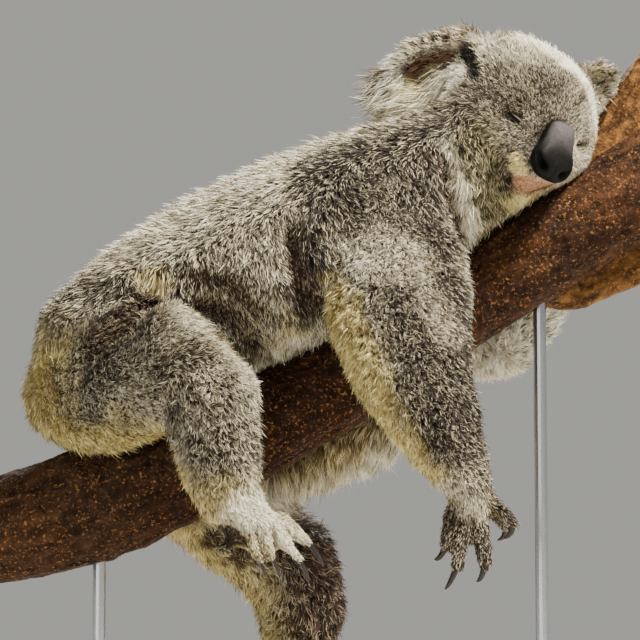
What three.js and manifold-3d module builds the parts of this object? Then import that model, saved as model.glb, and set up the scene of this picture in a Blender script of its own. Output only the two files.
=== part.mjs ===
// A sleeping koala, draped along a sloping branch: a still, life-size museum model.
// Millimetres, +Z up. The origin is on the floor under the middle of the display base. The koala's head is
// towards +X, its right side faces -Y, and its left limbs hang behind the branch, at +Y.
// Each sub-part of the body is a form carried along a smooth spine, and gives the coat's outer surface.
import * as THREE from "three";
import { mergeVertices } from "three/addons/utils/BufferGeometryUtils.js";
import Module from "manifold-3d";

const wasm = await Module();
wasm.setup();

// Driving dimensions.
const GAP = 0.35; // between two pieces that touch
const CUT = 2000; // larger than the whole model, for trimming

const BASE_LENGTH = 520;
const BASE_DEPTH = 320;
const BASE_THICKNESS = 22;
const BASE_CORNER = 60;
const BASE_EDGE = 3; // bevel
const ROD_RADIUS = 6;
const ROD_SOCKET = { base: 12, branch: 24 }; // how far a rod goes into each
const ROD_PLACES = { stand_rod_low: -201, stand_rod_high: 202 };
const BRANCH_REACH = 308; // from the middle to each sawn end

const HEAD_MIDDLE = [183, -12, 630];
const HEAD_TURN = 25; // degrees that the face is turned from -Y towards +X
const HEAD_DIP = 16; // degrees that the face looks down
const HEAD_ROLL = 18; // degrees that the head leans towards its left cheek
const SKULL_HALF = [68, 73, 77]; // length, width and height of the furred skull

const finish = (colour, roughness, metalness = 0) =>
  new THREE.MeshStandardMaterial({ color: colour, roughness, metalness });
const FINISHES = {
  coat: finish(0x8a8178, 0.95),
  pale_coat: finish(0xcfc3a4, 0.95),
  nose: finish(0x2b2728, 0.5),
  claw: finish(0x2a211b, 0.35),
  lid: finish(0x4a3f38, 0.7),
  bark: finish(0x5a3620, 0.9),
  wood: finish(0xb98d5c, 0.45),
  steel: finish(0xb8bcc0, 0.3, 1),
};

const point = (place) => new THREE.Vector3(...place);
const radians = THREE.MathUtils.degToRad;

// ---- Solids ----

// A closed mesh as a solid that can be cut and joined.
function solidOf(geometry) {
  const bare = geometry.clone();
  for (const name of ["normal", "uv"]) bare.deleteAttribute(name);
  const merged = mergeVertices(bare, 1e-3);
  return new wasm.Manifold(
    new wasm.Mesh({
      numProp: 3,
      vertProperties: merged.attributes.position.array,
      triVerts: new Uint32Array(merged.index.array),
    }),
  );
}

// Moves each vertex of a geometry to where place(vertex, index) says.
function reshape(geometry, place) {
  const position = geometry.attributes.position;
  const vertex = new THREE.Vector3();
  for (let i = 0; i < position.count; i++) {
    vertex.fromBufferAttribute(position, i);
    const moved = place(vertex, i);
    position.setXYZ(i, moved.x, moved.y, moved.z);
  }
  return geometry;
}

const spineOf = (stations) =>
  new THREE.CatmullRomCurve3(stations.map(([x, y, z]) => new THREE.Vector3(x, y, z)), false, "centripetal");

// A rounded form carried along a smooth spine. Each station is [x, y, z, wide, high]: the middle of an elliptical
// section, its half-size towards +Y and its half-size square to that. The rows of a sphere are spread along the
// spine, and the first and last `caps` rows close the ends as domes, `dome` times as long as the section is high.
function form(stations, { around = 16, along = 14, caps = 3, dome = 0.9, grow = 0 } = {}) {
  const spine = spineOf(stations);
  const sizes = new THREE.CatmullRomCurve3(
    stations.map(([, , , wide, high]) => new THREE.Vector3(wide + grow, high + grow, 0)),
    false,
    "catmullrom",
  );
  const shell = new THREE.SphereGeometry(1, around, along);
  const uv = shell.attributes.uv;
  const sideways = new THREE.Vector3(0, 1, 0);
  return solidOf(
    reshape(shell, (vertex, i) => {
      const row = (1 - uv.getY(i)) * along;
      const inCap = Math.max(0, caps - row, row - (along - caps)) / caps;
      const bend = (Math.PI / 2) * inCap;
      const t = THREE.MathUtils.clamp((row - caps) / (along - 2 * caps), 0, 1);
      const ahead = spine.getTangent(t);
      const across = sideways.clone().addScaledVector(ahead, -ahead.y).normalize();
      const upward = new THREE.Vector3().crossVectors(ahead, across);
      const size = sizes.getPoint(t);
      const end = Math.sin(bend) * size.y * dome * (row < caps ? -1 : 1);
      const turn = Math.atan2(vertex.z, vertex.x);
      const ring = Math.cos(bend);
      return spine
        .getPoint(t)
        .addScaledVector(ahead, end)
        .addScaledVector(across, Math.cos(turn) * ring * size.x)
        .addScaledVector(upward, Math.sin(turn) * ring * size.y);
    }),
  );
}

const joined = (...solids) => solids.reduce((whole, other) => whole.add(other));

// The largest body of a solid: a cut can leave crumbs.
const largest = (solid) => solid.decompose().sort((a, b) => b.volume() - a.volume())[0];

// A solid less its neighbours, each of them a function that gives it grown by the gap.
const fitted = (solid, ...neighbours) => largest(neighbours.reduce((rest, other) => rest.subtract(other(GAP)), solid));

// A thin cut through a place, square to a direction: the part before it and the part after it.
function cutAt(solid, { place, towards }) {
  const normal = point(towards).normalize();
  const along = normal.dot(point(place));
  return [
    solid.trimByPlane(normal.clone().negate().toArray(), GAP / 2 - along),
    solid.trimByPlane(normal.toArray(), along + GAP / 2),
  ];
}

// ---- The perch: a length of branch with a fork, sawn upright at its ends ----
const BRANCH_STATIONS = [
  [-340, 0, 240, 46, 46],
  [-237, 0, 266, 53, 53],
  [-201, 0, 278, 55, 55],
  [-155, 0, 294, 51, 51],
  [-92, 0, 325, 46, 46],
  [-18, 0, 366, 43, 43],
  [74, 0, 420, 43, 43],
  [147, 0, 472, 44, 44],
  [221, 0, 519, 45, 45],
  [345, 0, 598, 46, 46],
];
const FORK_STATIONS = [
  [214, 12, 512, 33, 33],
  [258, 28, 578, 35, 35],
  [298, 36, 636, 36, 36],
  [340, 40, 700, 36, 36],
];
const SIDE_SHOOT_STATIONS = [
  [196, 6, 480, 20, 20],
  [238, 12, 470, 17, 17],
  [340, 20, 522, 16, 16],
];
function branch(grow = 0) {
  const whole = joined(
    form(BRANCH_STATIONS, { around: 14, along: 13, caps: 1, grow }),
    form(FORK_STATIONS, { around: 12, along: 6, caps: 2, grow }),
    form(SIDE_SHOOT_STATIONS, { around: 8, along: 6, caps: 1, grow }),
  );
  const length = 2 * (BRANCH_REACH + grow);
  return whole.intersect(solidOf(new THREE.BoxGeometry(length, CUT, CUT)));
}

// ---- The display stand: a wooden base and two steel rods ----
function base() {
  const [x, y, r] = [BASE_LENGTH / 2, BASE_DEPTH / 2, BASE_CORNER];
  const outline = new THREE.Shape();
  for (const [cx, cy, from] of [[x - r, y - r, 0], [r - x, y - r, 90], [r - x, r - y, 180], [x - r, r - y, 270]])
    outline.absarc(cx, cy, r, radians(from), radians(from + 90), false);
  return solidOf(
    new THREE.ExtrudeGeometry(outline, {
      depth: BASE_THICKNESS - 2 * BASE_EDGE,
      curveSegments: 3,
      bevelSize: BASE_EDGE,
      bevelThickness: BASE_EDGE,
      bevelOffset: -BASE_EDGE,
      bevelSegments: 1,
    }).translate(0, 0, BASE_EDGE),
  );
}
// The height of the branch's underside at x.
function branchUnderside(x) {
  const spine = spineOf(BRANCH_STATIONS).getPoints(200);
  const nearest = spine.reduce((best, place) => (Math.abs(place.x - x) < Math.abs(best.x - x) ? place : best));
  return nearest.z - BRANCH_STATIONS.find(([stationX]) => stationX >= x)[4];
}
function rod(x, grow = 0) {
  const low = BASE_THICKNESS - ROD_SOCKET.base - grow;
  const high = branchUnderside(x) + ROD_SOCKET.branch + grow;
  return solidOf(
    new THREE.CylinderGeometry(ROD_RADIUS + grow, ROD_RADIUS + grow, high - low, 14)
      .rotateX(Math.PI / 2)
      .translate(x, 0, (low + high) / 2),
  );
}
const rods = (grow) => joined(...Object.values(ROD_PLACES).map((x) => rod(x, grow)));

// ---- The trunk and neck: one form, with the slack of the belly hanging behind the branch ----
const TRUNK_STATIONS = [
  [-221, 4, 373, 61, 54],
  [-196, 3, 411, 86, 75],
  [-147, 2, 446, 94, 80],
  [-80, 0, 481, 97, 87],
  [-11, 0, 511, 95, 89],
  [52, -2, 540, 88, 84],
  [100, -5, 567, 77, 74],
  [136, -10, 588, 66, 64],
  [168, -14, 604, 58, 60],
];
const BELLY_STATIONS = [
  [-98, 50, 402, 40, 78],
  [-52, 60, 364, 41, 84],
  [4, 64, 347, 41, 83],
  [40, 60, 374, 38, 66],
];
const NECK_CUT = { place: [106, 0, 568], towards: [0.86, 0, 0.5] };
const torso = (grow = 0) =>
  joined(
    form(TRUNK_STATIONS, { around: 18, along: 15, grow }),
    form(BELLY_STATIONS, { around: 12, along: 8, dome: 0.45, grow }),
  );

// ---- The head, in its own frame: x towards the nose, y towards the left ear, z towards the crown ----
function headFrame() {
  const [turn, dip, roll] = [HEAD_TURN, HEAD_DIP, HEAD_ROLL].map(radians);
  const ahead = new THREE.Vector3(
    Math.sin(turn) * Math.cos(dip),
    -Math.cos(turn) * Math.cos(dip),
    -Math.sin(dip),
  );
  const level = new THREE.Vector3(0, 0, 1).cross(ahead).normalize();
  const upright = new THREE.Vector3().crossVectors(ahead, level);
  const left = level.clone().multiplyScalar(Math.cos(roll)).addScaledVector(upright, -Math.sin(roll));
  const crown = upright.clone().multiplyScalar(Math.cos(roll)).addScaledVector(level, Math.sin(roll));
  return new THREE.Matrix4().makeBasis(ahead, left, crown).setPosition(...HEAD_MIDDLE);
}
const HEAD_FRAME = headFrame();

// Swellings and hollows: where on the head, how far the surface moves out, and how wide it is in radians.
const HEAD_FEATURES = {
  muzzle: { towards: [0.93, 0, -0.36], by: 22, spread: 0.42 },
  chin: { towards: [0.62, 0, -0.78], by: 5, spread: 0.35 },
  rightCheek: { towards: [0.2, -0.8, -0.5], by: 7, spread: 0.5 },
  leftCheek: { towards: [0.2, 0.8, -0.5], by: -2, spread: 0.5 }, // pressed against the fork
  rightTemple: { towards: [-0.1, -0.62, 0.78], by: 7, spread: 0.5 },
  leftTemple: { towards: [-0.1, 0.62, 0.78], by: 0, spread: 0.5 },
  crown: { towards: [0, 0.1, 1], by: -6, spread: 0.5 },
  rightEyeHollow: { towards: [0.86, -0.5, 0.06], by: -5, spread: 0.22 },
  leftEyeHollow: { towards: [0.86, 0.5, 0.06], by: -5, spread: 0.22 },
  nape: { towards: [-1, 0, -0.3], by: -6, spread: 0.7 },
};
// How far the head's surface lies from its middle in a unit direction.
function headReach(direction) {
  const [length, width, height] = SKULL_HALF;
  const skull = 1 / Math.hypot(direction.x / length, direction.y / width, direction.z / height);
  return Object.values(HEAD_FEATURES).reduce((reach, { towards, by, spread }) => {
    const off = direction.angleTo(point(towards)) / spread;
    return reach + by * Math.exp(-off * off);
  }, skull);
}
function headForm(grow = 0) {
  const ball = new THREE.SphereGeometry(1, 20, 13).rotateX(Math.PI / 2);
  return solidOf(
    reshape(ball, (vertex) => {
      const direction = vertex.clone().normalize();
      return direction.clone().multiplyScalar(headReach(direction) + grow).applyMatrix4(HEAD_FRAME);
    }),
  );
}

// The leathery nose pad: an egg, broad end down, on the front of the muzzle.
const NOSE_MIDDLE = [81, -2, -20];
const NOSE_HALF = [13, 20, 28];
const NOSE_TAPER = 0.2;
const NOSE_LEAN = 16; // degrees that its top leans back
function noseForm(grow = 0) {
  const ball = new THREE.SphereGeometry(1, 12, 9).rotateX(Math.PI / 2);
  return solidOf(
    reshape(ball, (vertex) => {
      const [thick, wide, tall] = NOSE_HALF.map((half) => half + grow);
      const narrowing = 1 - NOSE_TAPER * vertex.z;
      return new THREE.Vector3(vertex.x * thick, vertex.y * wide * narrowing, vertex.z * tall)
        .applyAxisAngle(new THREE.Vector3(0, 1, 0), -radians(NOSE_LEAN))
        .add(point(NOSE_MIDDLE))
        .applyMatrix4(HEAD_FRAME);
    }),
  );
}

// A closed eye: an almond that fills its hollow.
const EYE_MIDDLE = { right: [54, -39, -6], left: [54, 39, -3] };
const EYE_HALF = [7, 11, 7];
function eyeForm(sideName, grow = 0) {
  const [deep, wide, tall] = EYE_HALF.map((half) => half + grow);
  const outward = sideName === "left" ? 1 : -1;
  const eye = new THREE.SphereGeometry(1, 8, 6)
    .scale(deep, wide, tall)
    .rotateX(radians(-14) * outward)
    .rotateZ(radians(34) * outward)
    .translate(...EYE_MIDDLE[sideName])
    .applyMatrix4(HEAD_FRAME);
  return solidOf(eye);
}

// An ear: a round dish with thick fur, hollow in front. `middle` and the two directions are those of the model.
const EARS = {
  right: { middle: [104, -4, 677], reaches: [-0.98, 0.1, -0.22], faces: [0.12, -0.86, -0.5], half: [54, 48, 19] },
  left: { middle: [256, 4, 664], reaches: [0.86, 0.1, 0.4], faces: [0.2, -0.9, -0.35], half: [28, 28, 14] },
};
const EAR_HOLLOW = 0.45; // of its thickness
function earForm(sideName, grow = 0) {
  const { middle, reaches, faces, half } = EARS[sideName];
  const out = point(reaches).normalize();
  const front = point(faces).addScaledVector(out, -out.dot(point(faces))).normalize();
  const rim = new THREE.Vector3().crossVectors(front, out);
  const [long, tall, thick] = half.map((size) => size + grow);
  const disc = new THREE.SphereGeometry(1, 12, 8);
  return solidOf(
    reshape(disc, (v) => {
      const hollow = v.z > 0 ? EAR_HOLLOW * (1 - v.x * v.x - v.y * v.y) * thick : 0;
      return point(middle)
        .addScaledVector(out, v.x * long)
        .addScaledVector(rim, v.y * tall)
        .addScaledVector(front, v.z * thick - hollow);
    }),
  );
}

// ---- Limbs: one form from the trunk to the palm or sole, cut into segments at its joints ----
const LIMBS = [
  {
    segments: ["right_upper_arm", "right_forearm", "right_hand"],
    stations: [
      [66, -34, 528, 48, 66],
      [66, -72, 468, 42, 70],
      [80, -97, 395, 39, 58],
      [102, -101, 344, 33, 42],
      [122, -95, 304, 28, 29],
      [132, -90, 284, 23, 22],
      [134, -90, 273, 21, 16],
    ],
    joints: [
      { place: [88, -100, 378], towards: [0.35, 0, -0.94] },
      { place: [131, -90, 283], towards: [0.2, 0, -0.98] },
    ],
  },
  {
    segments: ["left_upper_arm", "left_forearm", "left_hand"],
    stations: [
      [106, 51, 520, 42, 48],
      [126, 76, 474, 37, 42],
      [148, 88, 436, 34, 38],
      [179, 86, 438, 32, 36],
      [204, 78, 466, 27, 28],
      [226, 72, 496, 21, 21],
      [243, 68, 514, 18, 16],
    ],
    joints: [
      { place: [162, 88, 430], towards: [1, 0, 0] },
      { place: [216, 74, 482], towards: [0.6, 0, 0.8] },
    ],
  },
  {
    segments: ["right_thigh", "right_shank", "right_foot"],
    stations: [
      [-204, -46, 374, 50, 60],
      [-158, -84, 390, 50, 62],
      [-109, -108, 398, 42, 54],
      [-95, -110, 346, 37, 43],
      [-89, -106, 306, 33, 38],
      [-79, -100, 270, 28, 30],
      [-64, -102, 252, 27, 24],
      [-48, -102, 242, 24, 18],
    ],
    joints: [
      { place: [-137, -105, 330], towards: [0.76, 0, -0.65] },
      { place: [-75, -100, 267], towards: [0.55, 0, -0.83] },
    ],
  },
  {
    segments: ["left_thigh", "left_shank", "left_foot"],
    stations: [
      [-196, 48, 368, 46, 56],
      [-140, 78, 318, 46, 54],
      [-82, 88, 266, 43, 50],
      [-30, 88, 226, 40, 50],
      [-16, 86, 182, 37, 43],
      [-22, 82, 142, 32, 33],
      [-34, 79, 106, 27, 28],
      [-20, 78, 86, 26, 22],
      [-4, 78, 74, 23, 17],
    ],
    joints: [
      { place: [-36, 88, 226], towards: [0.4, 0, -0.92] },
      { place: [-32, 79, 108], towards: [0.3, 0, -0.95] },
    ],
  },
];

// Digits: from its root over a knuckle to its tip. A claw curves on from the tip to its own point.
const DIGITS = {
  right_hand: [
    { root: [118, -86, 265], knuckle: [115, -94, 248], tip: [111, -92, 232], point: [102, -86, 224], half: 8 },
    { root: [127, -94, 262], knuckle: [126, -101, 237], tip: [121, -98, 214], point: [110, -92, 195], half: 9 },
    { root: [140, -92, 262], knuckle: [144, -99, 237], tip: [146, -96, 216], point: [138, -90, 203], half: 9 },
    { root: [148, -90, 276], knuckle: [161, -93, 267], tip: [171, -92, 253], point: [163, -88, 241], half: 8 },
    { root: [148, -76, 274], knuckle: [158, -70, 262], tip: [166, -66, 251], point: [159, -64, 241], half: 8 },
  ],
  left_hand: [
    { root: [246, 74, 504], knuckle: [262, 76, 506], tip: [276, 70, 511], point: [287, 62, 513], half: 8 },
    { root: [248, 70, 512], knuckle: [267, 76, 522], tip: [281, 75, 533], point: [292, 68, 540], half: 8.5 },
    { root: [242, 66, 522], knuckle: [256, 70, 538], tip: [266, 67, 552], point: [274, 61, 562], half: 8 },
    { root: [234, 66, 520], knuckle: [238, 64, 540], tip: [243, 60, 556], point: [250, 52, 567], half: 8 },
    { root: [226, 66, 512], knuckle: [222, 63, 532], tip: [222, 57, 548], point: [226, 47, 558], half: 8 },
  ],
  right_foot: [
    { root: [-66, -116, 247], knuckle: [-59, -124, 232], tip: [-53, -124, 218], point: [-48, -119, 207], half: 8 },
    { root: [-57, -112, 247], knuckle: [-48, -120, 232], tip: [-41, -121, 219], point: [-36, -116, 206], half: 8 },
    { root: [-46, -104, 250], knuckle: [-30, -112, 235], tip: [-18, -112, 220], point: [-11, -106, 202], half: 9 },
    { root: [-37, -90, 255], knuckle: [-21, -93, 245], tip: [-10, -93, 235], point: [3, -87, 217], half: 9 },
  ],
  left_foot: [
    { root: [-8, 94, 76], knuckle: [7, 98, 72], tip: [18, 98, 62], point: [27, 95, 48], half: 8 },
    { root: [-2, 87, 74], knuckle: [15, 89, 70], tip: [27, 89, 60], point: [36, 86, 45], half: 8 },
    { root: [0, 76, 74], knuckle: [18, 76, 70], tip: [31, 76, 60], point: [41, 74, 44], half: 9 },
    { root: [-6, 64, 76], knuckle: [11, 62, 72], tip: [23, 62, 62], point: [32, 62, 47], half: 9 },
  ],
};
// The clawless big toe, folded under the sole.
const BIG_TOES = {
  right_foot: [[-74, -104, 250, 12, 12], [-84, -110, 240, 12, 12], [-84, -114, 230, 10, 10]],
  left_foot: [[-28, 68, 86, 12, 12], [-36, 58, 72, 12, 12], [-34, 56, 60, 10, 10]],
};
const TIP_TAPER = 0.72;
const CLAW_HALF = 2.9;
const CLAW_ARCH = 4; // how far a claw runs straight on before it bends
const slim = (grow, around, along, caps) => ({ around, along, caps, grow });
const digitForm = ({ root, knuckle, tip, half }, grow = 0) =>
  form(
    [[...root, half, half], [...knuckle, half, half], [...tip, half * TIP_TAPER, half * TIP_TAPER]],
    slim(grow, 7, 5, 2),
  );
// A claw starts inside the tip of its digit and bends to a blunt point.
function clawForm({ knuckle, tip, point: end }, grow = 0) {
  const straight = point(tip).sub(point(knuckle));
  const start = point(knuckle).addScaledVector(straight, 0.72);
  const back = point(tip).lerp(point(end), 0.5).addScaledVector(straight.normalize(), CLAW_ARCH);
  const station = (place, half) => [place.x, place.y, place.z, half, half];
  return form(
    [station(start, CLAW_HALF), station(back, CLAW_HALF * 0.8), station(point(end), 0.7)],
    slim(grow, 5, 4, 1),
  );
}

// ---- Assembly ----
const koala = new THREE.Group();
const perch = new THREE.Group();
const stand = new THREE.Group();

function add(group, name, material, solid) {
  const { vertProperties, triVerts } = solid.getMesh();
  const geometry = new THREE.BufferGeometry()
    .setAttribute("position", new THREE.BufferAttribute(vertProperties, 3))
    .setIndex(new THREE.BufferAttribute(triVerts, 1));
  geometry.computeVertexNormals();
  const mesh = new THREE.Mesh(geometry, material);
  mesh.name = name;
  group.add(mesh);
}

add(stand, "stand_base", FINISHES.wood, fitted(base(), rods));
for (const [name, x] of Object.entries(ROD_PLACES)) add(stand, name, FINISHES.steel, rod(x));
add(perch, "perch_branch", FINISHES.bark, fitted(branch(), rods));

const eyes = (grow) => joined(eyeForm("right", grow), eyeForm("left", grow));
const [trunk, neck] = cutAt(torso(), NECK_CUT);
add(koala, "trunk", FINISHES.coat, fitted(trunk, branch));
add(koala, "neck", FINISHES.coat, fitted(neck, branch, headForm));
add(koala, "head", FINISHES.coat, fitted(headForm(), branch, noseForm, eyes));
add(koala, "nose", FINISHES.nose, noseForm());
for (const sideName of ["right", "left"]) {
  const ear = earForm(sideName);
  add(koala, "ear_" + sideName, FINISHES.pale_coat, fitted(ear, branch, headForm, torso));
  add(koala, "eye_" + sideName, FINISHES.lid, eyeForm(sideName));
}

const LIMB_DETAIL = { around: 12, along: 14 };
for (const { segments, stations, joints } of LIMBS) {
  const [upperName, lowerName, endName] = segments;
  const digits = DIGITS[endName];
  const [upper, rest] = cutAt(form(stations, LIMB_DETAIL), joints[0]);
  const [lower, palm] = cutAt(rest, joints[1]);
  const beyond = (solid) => cutAt(solid, joints[1])[1];
  const bigToe = BIG_TOES[endName] ? [beyond(form(BIG_TOES[endName], slim(0, 7, 5, 2)))] : [];
  const hand = joined(palm, ...bigToe, ...digits.map((digit) => digitForm(digit)));
  const claws = (grow) => joined(...digits.map((digit) => clawForm(digit, grow)));
  add(koala, upperName, FINISHES.coat, fitted(upper, branch, torso));
  add(koala, lowerName, FINISHES.coat, fitted(lower, branch, torso));
  add(koala, endName, FINISHES.coat, fitted(beyond(hand), branch, claws));
  digits.forEach((digit, i) => {
    add(koala, `${endName}_claw_${i + 1}`, FINISHES.claw, fitted(clawForm(digit), branch));
  });
}

const model = new THREE.Group();
model.add(koala, perch, stand);
export default model;
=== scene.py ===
import math
from itertools import product

import bmesh
import bpy
import numpy as np
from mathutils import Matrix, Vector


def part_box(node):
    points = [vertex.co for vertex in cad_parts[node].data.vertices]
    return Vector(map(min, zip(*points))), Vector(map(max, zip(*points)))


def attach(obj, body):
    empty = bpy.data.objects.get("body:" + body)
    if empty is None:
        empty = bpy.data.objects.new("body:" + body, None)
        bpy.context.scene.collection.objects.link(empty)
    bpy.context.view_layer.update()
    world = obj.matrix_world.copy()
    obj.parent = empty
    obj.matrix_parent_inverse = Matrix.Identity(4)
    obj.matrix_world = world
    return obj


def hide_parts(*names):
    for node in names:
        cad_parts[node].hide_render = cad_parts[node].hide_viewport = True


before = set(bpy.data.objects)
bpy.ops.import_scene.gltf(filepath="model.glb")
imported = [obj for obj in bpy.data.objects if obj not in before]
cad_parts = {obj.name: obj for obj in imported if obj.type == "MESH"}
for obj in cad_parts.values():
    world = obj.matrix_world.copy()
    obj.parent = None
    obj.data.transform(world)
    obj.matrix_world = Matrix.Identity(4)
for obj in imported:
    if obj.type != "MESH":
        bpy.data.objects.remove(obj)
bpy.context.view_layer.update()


# ---- Camera ----
# A long lens three metres away, a little below the animal and looking up at it, as from the ground
# under a low branch.
AIM = (0.0, 0.0, 0.445)
CAMERA_DISTANCE = 3.0
LOOKS_UP = math.radians(7)
camera_data = bpy.data.cameras.new("camera")
camera_data.sensor_width = 36.0
camera_data.lens = 183.4
camera_data.clip_end = 100.0
camera = bpy.data.objects.new("camera", camera_data)
camera.location = (
    AIM[0],
    AIM[1] - CAMERA_DISTANCE * math.cos(LOOKS_UP),
    AIM[2] - CAMERA_DISTANCE * math.sin(LOOKS_UP),
)
camera.rotation_euler = (math.pi / 2 + LOOKS_UP, 0.0, 0.0)
bpy.context.scene.collection.objects.link(camera)
bpy.context.scene.camera = camera


# ---- Perch branch ----
# A short length of a gum tree's limb with the first part of its fork. It is hardwood under thin,
# granular, flaking bark, sawn upright at both ends, with the end grain left bare.
def metres(*rows):
    """Rows of numbers written in millimetres, or in thousandths of a share, divided by 1000."""
    return np.array(rows) / 1000


BRANCH_AXES = {
    "limb": metres(
        (-340, 0, 240, 46), (-201, 0, 278, 55), (-92, 0, 325, 46), (-18, 0, 366, 43),
        (74, 0, 420, 43), (221, 0, 519, 45), (345, 0, 598, 46),
    ),
    "fork": metres(
        (214, 12, 512, 33), (258, 28, 578, 35), (298, 36, 636, 36), (340, 40, 700, 36),
    ),
    "shoot": metres(
        (196, 6, 480, 20), (238, 12, 470, 17), (340, 20, 522, 16),
    ),
}
SAWN_AT = 0.308
BARK_GRAIN = 0.0020
BARK_ROUNDS = 20


def linear(red, green, blue):
    """A screen colour as scene-linear values: ((c + 0.055) / 1.055)^2.4, or c / 12.92 when dark."""
    c = np.array((red, green, blue), float)
    return np.where(c > 0.04045, ((c + 0.055) / 1.055) ** 2.4, c / 12.92)


def unit(vectors):
    """Each vector divided by its length."""
    return vectors / np.maximum(np.linalg.norm(vectors, axis=-1, keepdims=True), 1e-12)


def smooth_step(low, high, values):
    """0 below low, 1 above high, and 3t² − 2t³ between."""
    t = np.clip((values - low) / (high - low), 0.0, 1.0)
    return t * t * (3 - 2 * t)


def noise(points, size, seed=0):
    """Smooth noise from −1 to 1: a random number at each corner of a cubic lattice of this size, blended
    across each cell by 3t² − 2t³ along its three edges."""
    place = np.asarray(points) / size
    cell = np.floor(place).astype(np.int64)
    t = place - cell
    t = t * t * (3 - 2 * t)
    total = np.zeros(len(place))
    for corner in product((0, 1), repeat=3):
        key = (cell + corner) @ np.array((73856093, 19349663, 83492791)) + seed * 15485863
        key = (key ^ (key >> 13)) * 1274126177 & 0xFFFFFFFF
        key = (key ^ (key >> 16)) * 668265263 & 0xFFFFFFFF
        value = ((key ^ (key >> 15)) & 0xFFFF) / 32767.5 - 1
        share = np.prod(np.where(corner, t, 1 - t), axis=1)
        total += share * value
    return total


def node_copy(nodes, grow=0.0):
    """Copies of CAD nodes as one mesh, each with its triangles joined and grown along its normals."""
    shape = bmesh.new()
    for node in nodes:
        single = bmesh.new()
        single.from_mesh(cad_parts[node].data)
        bmesh.ops.remove_doubles(single, verts=single.verts, dist=1e-6)
        single.normal_update()
        for vertex in single.verts:
            vertex.co += vertex.normal * grow
        part = bpy.data.meshes.new("part")
        single.to_mesh(part)
        single.free()
        shape.from_mesh(part)
        bpy.data.meshes.remove(part)
    mesh = bpy.data.meshes.new("copy")
    shape.to_mesh(mesh)
    shape.free()
    return mesh


def remeshed(mesh, voxel):
    """The outer surface of a mesh as even quads of one voxel's size: its points and its faces."""
    holder = bpy.data.objects.new("holder", mesh)
    bpy.context.scene.collection.objects.link(holder)
    remesh = holder.modifiers.new("remesh", "REMESH")
    remesh.mode = "VOXEL"
    remesh.voxel_size = voxel
    result = bpy.data.meshes.new_from_object(holder.evaluated_get(bpy.context.evaluated_depsgraph_get()))
    points = np.zeros(len(result.vertices) * 3)
    result.vertices.foreach_get("co", points)
    quads = np.zeros(len(result.loops), np.int64)
    result.loops.foreach_get("vertex_index", quads)
    bpy.data.objects.remove(holder)
    bpy.data.meshes.remove(mesh)
    bpy.data.meshes.remove(result)
    return points.reshape(-1, 3), quads.reshape(-1, 4)


def summed(index, values, count):
    """The sum of the rows of values that share an index."""
    return np.stack([np.bincount(index, values[:, k], count) for k in range(values.shape[1])], axis=1)


def relaxed(points, quads, rounds, hold=0.0):
    """Points moved, round by round, half way to the mean of their neighbours, less the share held."""
    edges = np.concatenate([quads[:, (k, (k + 1) % 4)] for k in range(4)])
    start, end = edges.T
    many = np.bincount(start, minlength=len(points))[:, None]
    share = 0.5 * (1 - np.broadcast_to(hold, len(points)))[:, None]
    for _ in range(rounds):
        points = points + share * (summed(start, points[end], len(points)) / many - points)
    return points


def normals_of(points, quads):
    """Unit normals: at each point the sum of the cross products of its faces' diagonals."""
    a, b, c, d = (points[quads[:, k]] for k in range(4))
    across = np.cross(c - a, d - b)
    return unit(summed(quads.ravel(), np.repeat(across, 4, axis=0), len(points)))


def along_axis(points, stations):
    """For each point, the nearest place on a line of stations (x, y, z, radius, …): the distance to it in
    radii, how far along the line it lies in metres, its values there and the line's direction."""
    stations = np.array(stations, float)
    best = np.full(len(points), np.inf)
    reached = np.zeros(len(points))
    values = np.zeros((len(points), stations.shape[1]))
    heading = np.zeros((len(points), 3))
    start = 0.0
    for a, b in zip(stations[:-1], stations[1:]):
        step = b[:3] - a[:3]
        length = np.linalg.norm(step)
        t = np.clip((points - a[:3]) @ step / length**2, 0, 1)
        there = a + t[:, None] * (b - a)
        far = np.linalg.norm(points - there[:, :3], axis=1) / there[:, 3]
        nearer = far < best
        best[nearer] = far[nearer]
        reached[nearer] = start + t[nearer] * length
        values[nearer] = there[nearer]
        heading[nearer] = step / length
        start += length
    return best, reached, values, heading


def inside_branch(points, margin=0.0):
    """True where a point is closer to one of the branch's axes than its radius there and this margin."""
    hidden = np.zeros(len(points), bool)
    for stations in BRANCH_AXES.values():
        far, _, values, _ = along_axis(points, stations)
        hidden |= far * values[:, 3] < values[:, 3] + margin
    return hidden & (np.abs(points[:, 0]) < SAWN_AT)


def new_mesh(name, points, faces):
    """A smooth-shaded mesh whose faces all have the same number of corners, set as whole arrays."""
    faces = np.asarray(faces, np.int32)
    mesh = bpy.data.meshes.new(name)
    mesh.vertices.add(len(points))
    mesh.vertices.foreach_set("co", np.asarray(points, np.float32).ravel())
    mesh.loops.add(faces.size)
    mesh.loops.foreach_set("vertex_index", faces.ravel())
    mesh.polygons.add(len(faces))
    mesh.polygons.foreach_set("loop_start", np.arange(0, faces.size, faces.shape[1], dtype=np.int32))
    mesh.update(calc_edges=True)
    mesh.shade_smooth()
    return mesh


def along_rod(points, places, radius=1.0):
    """How far points lie from a line through places, in radii."""
    return along_axis(points, [(*place, radius) for place in places])[0]


def new_piece(name, points, faces, materials):
    """A mesh object at the origin with these points, faces and materials, riding on the one body."""
    mesh = new_mesh(name, points, faces)
    for material in materials:
        mesh.materials.append(material)
    piece = bpy.data.objects.new(name, mesh)
    bpy.context.scene.collection.objects.link(piece)
    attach(piece, "root")
    return piece


def colour_points(piece, colours):
    """The piece's tone: one scene-linear colour for each point."""
    attribute = piece.data.color_attributes.new("tone", "FLOAT_COLOR", "POINT")
    flat = np.concatenate([colours, np.ones((len(colours), 1))], axis=1)
    attribute.data.foreach_set("color", flat.astype(np.float32).ravel())


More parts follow.
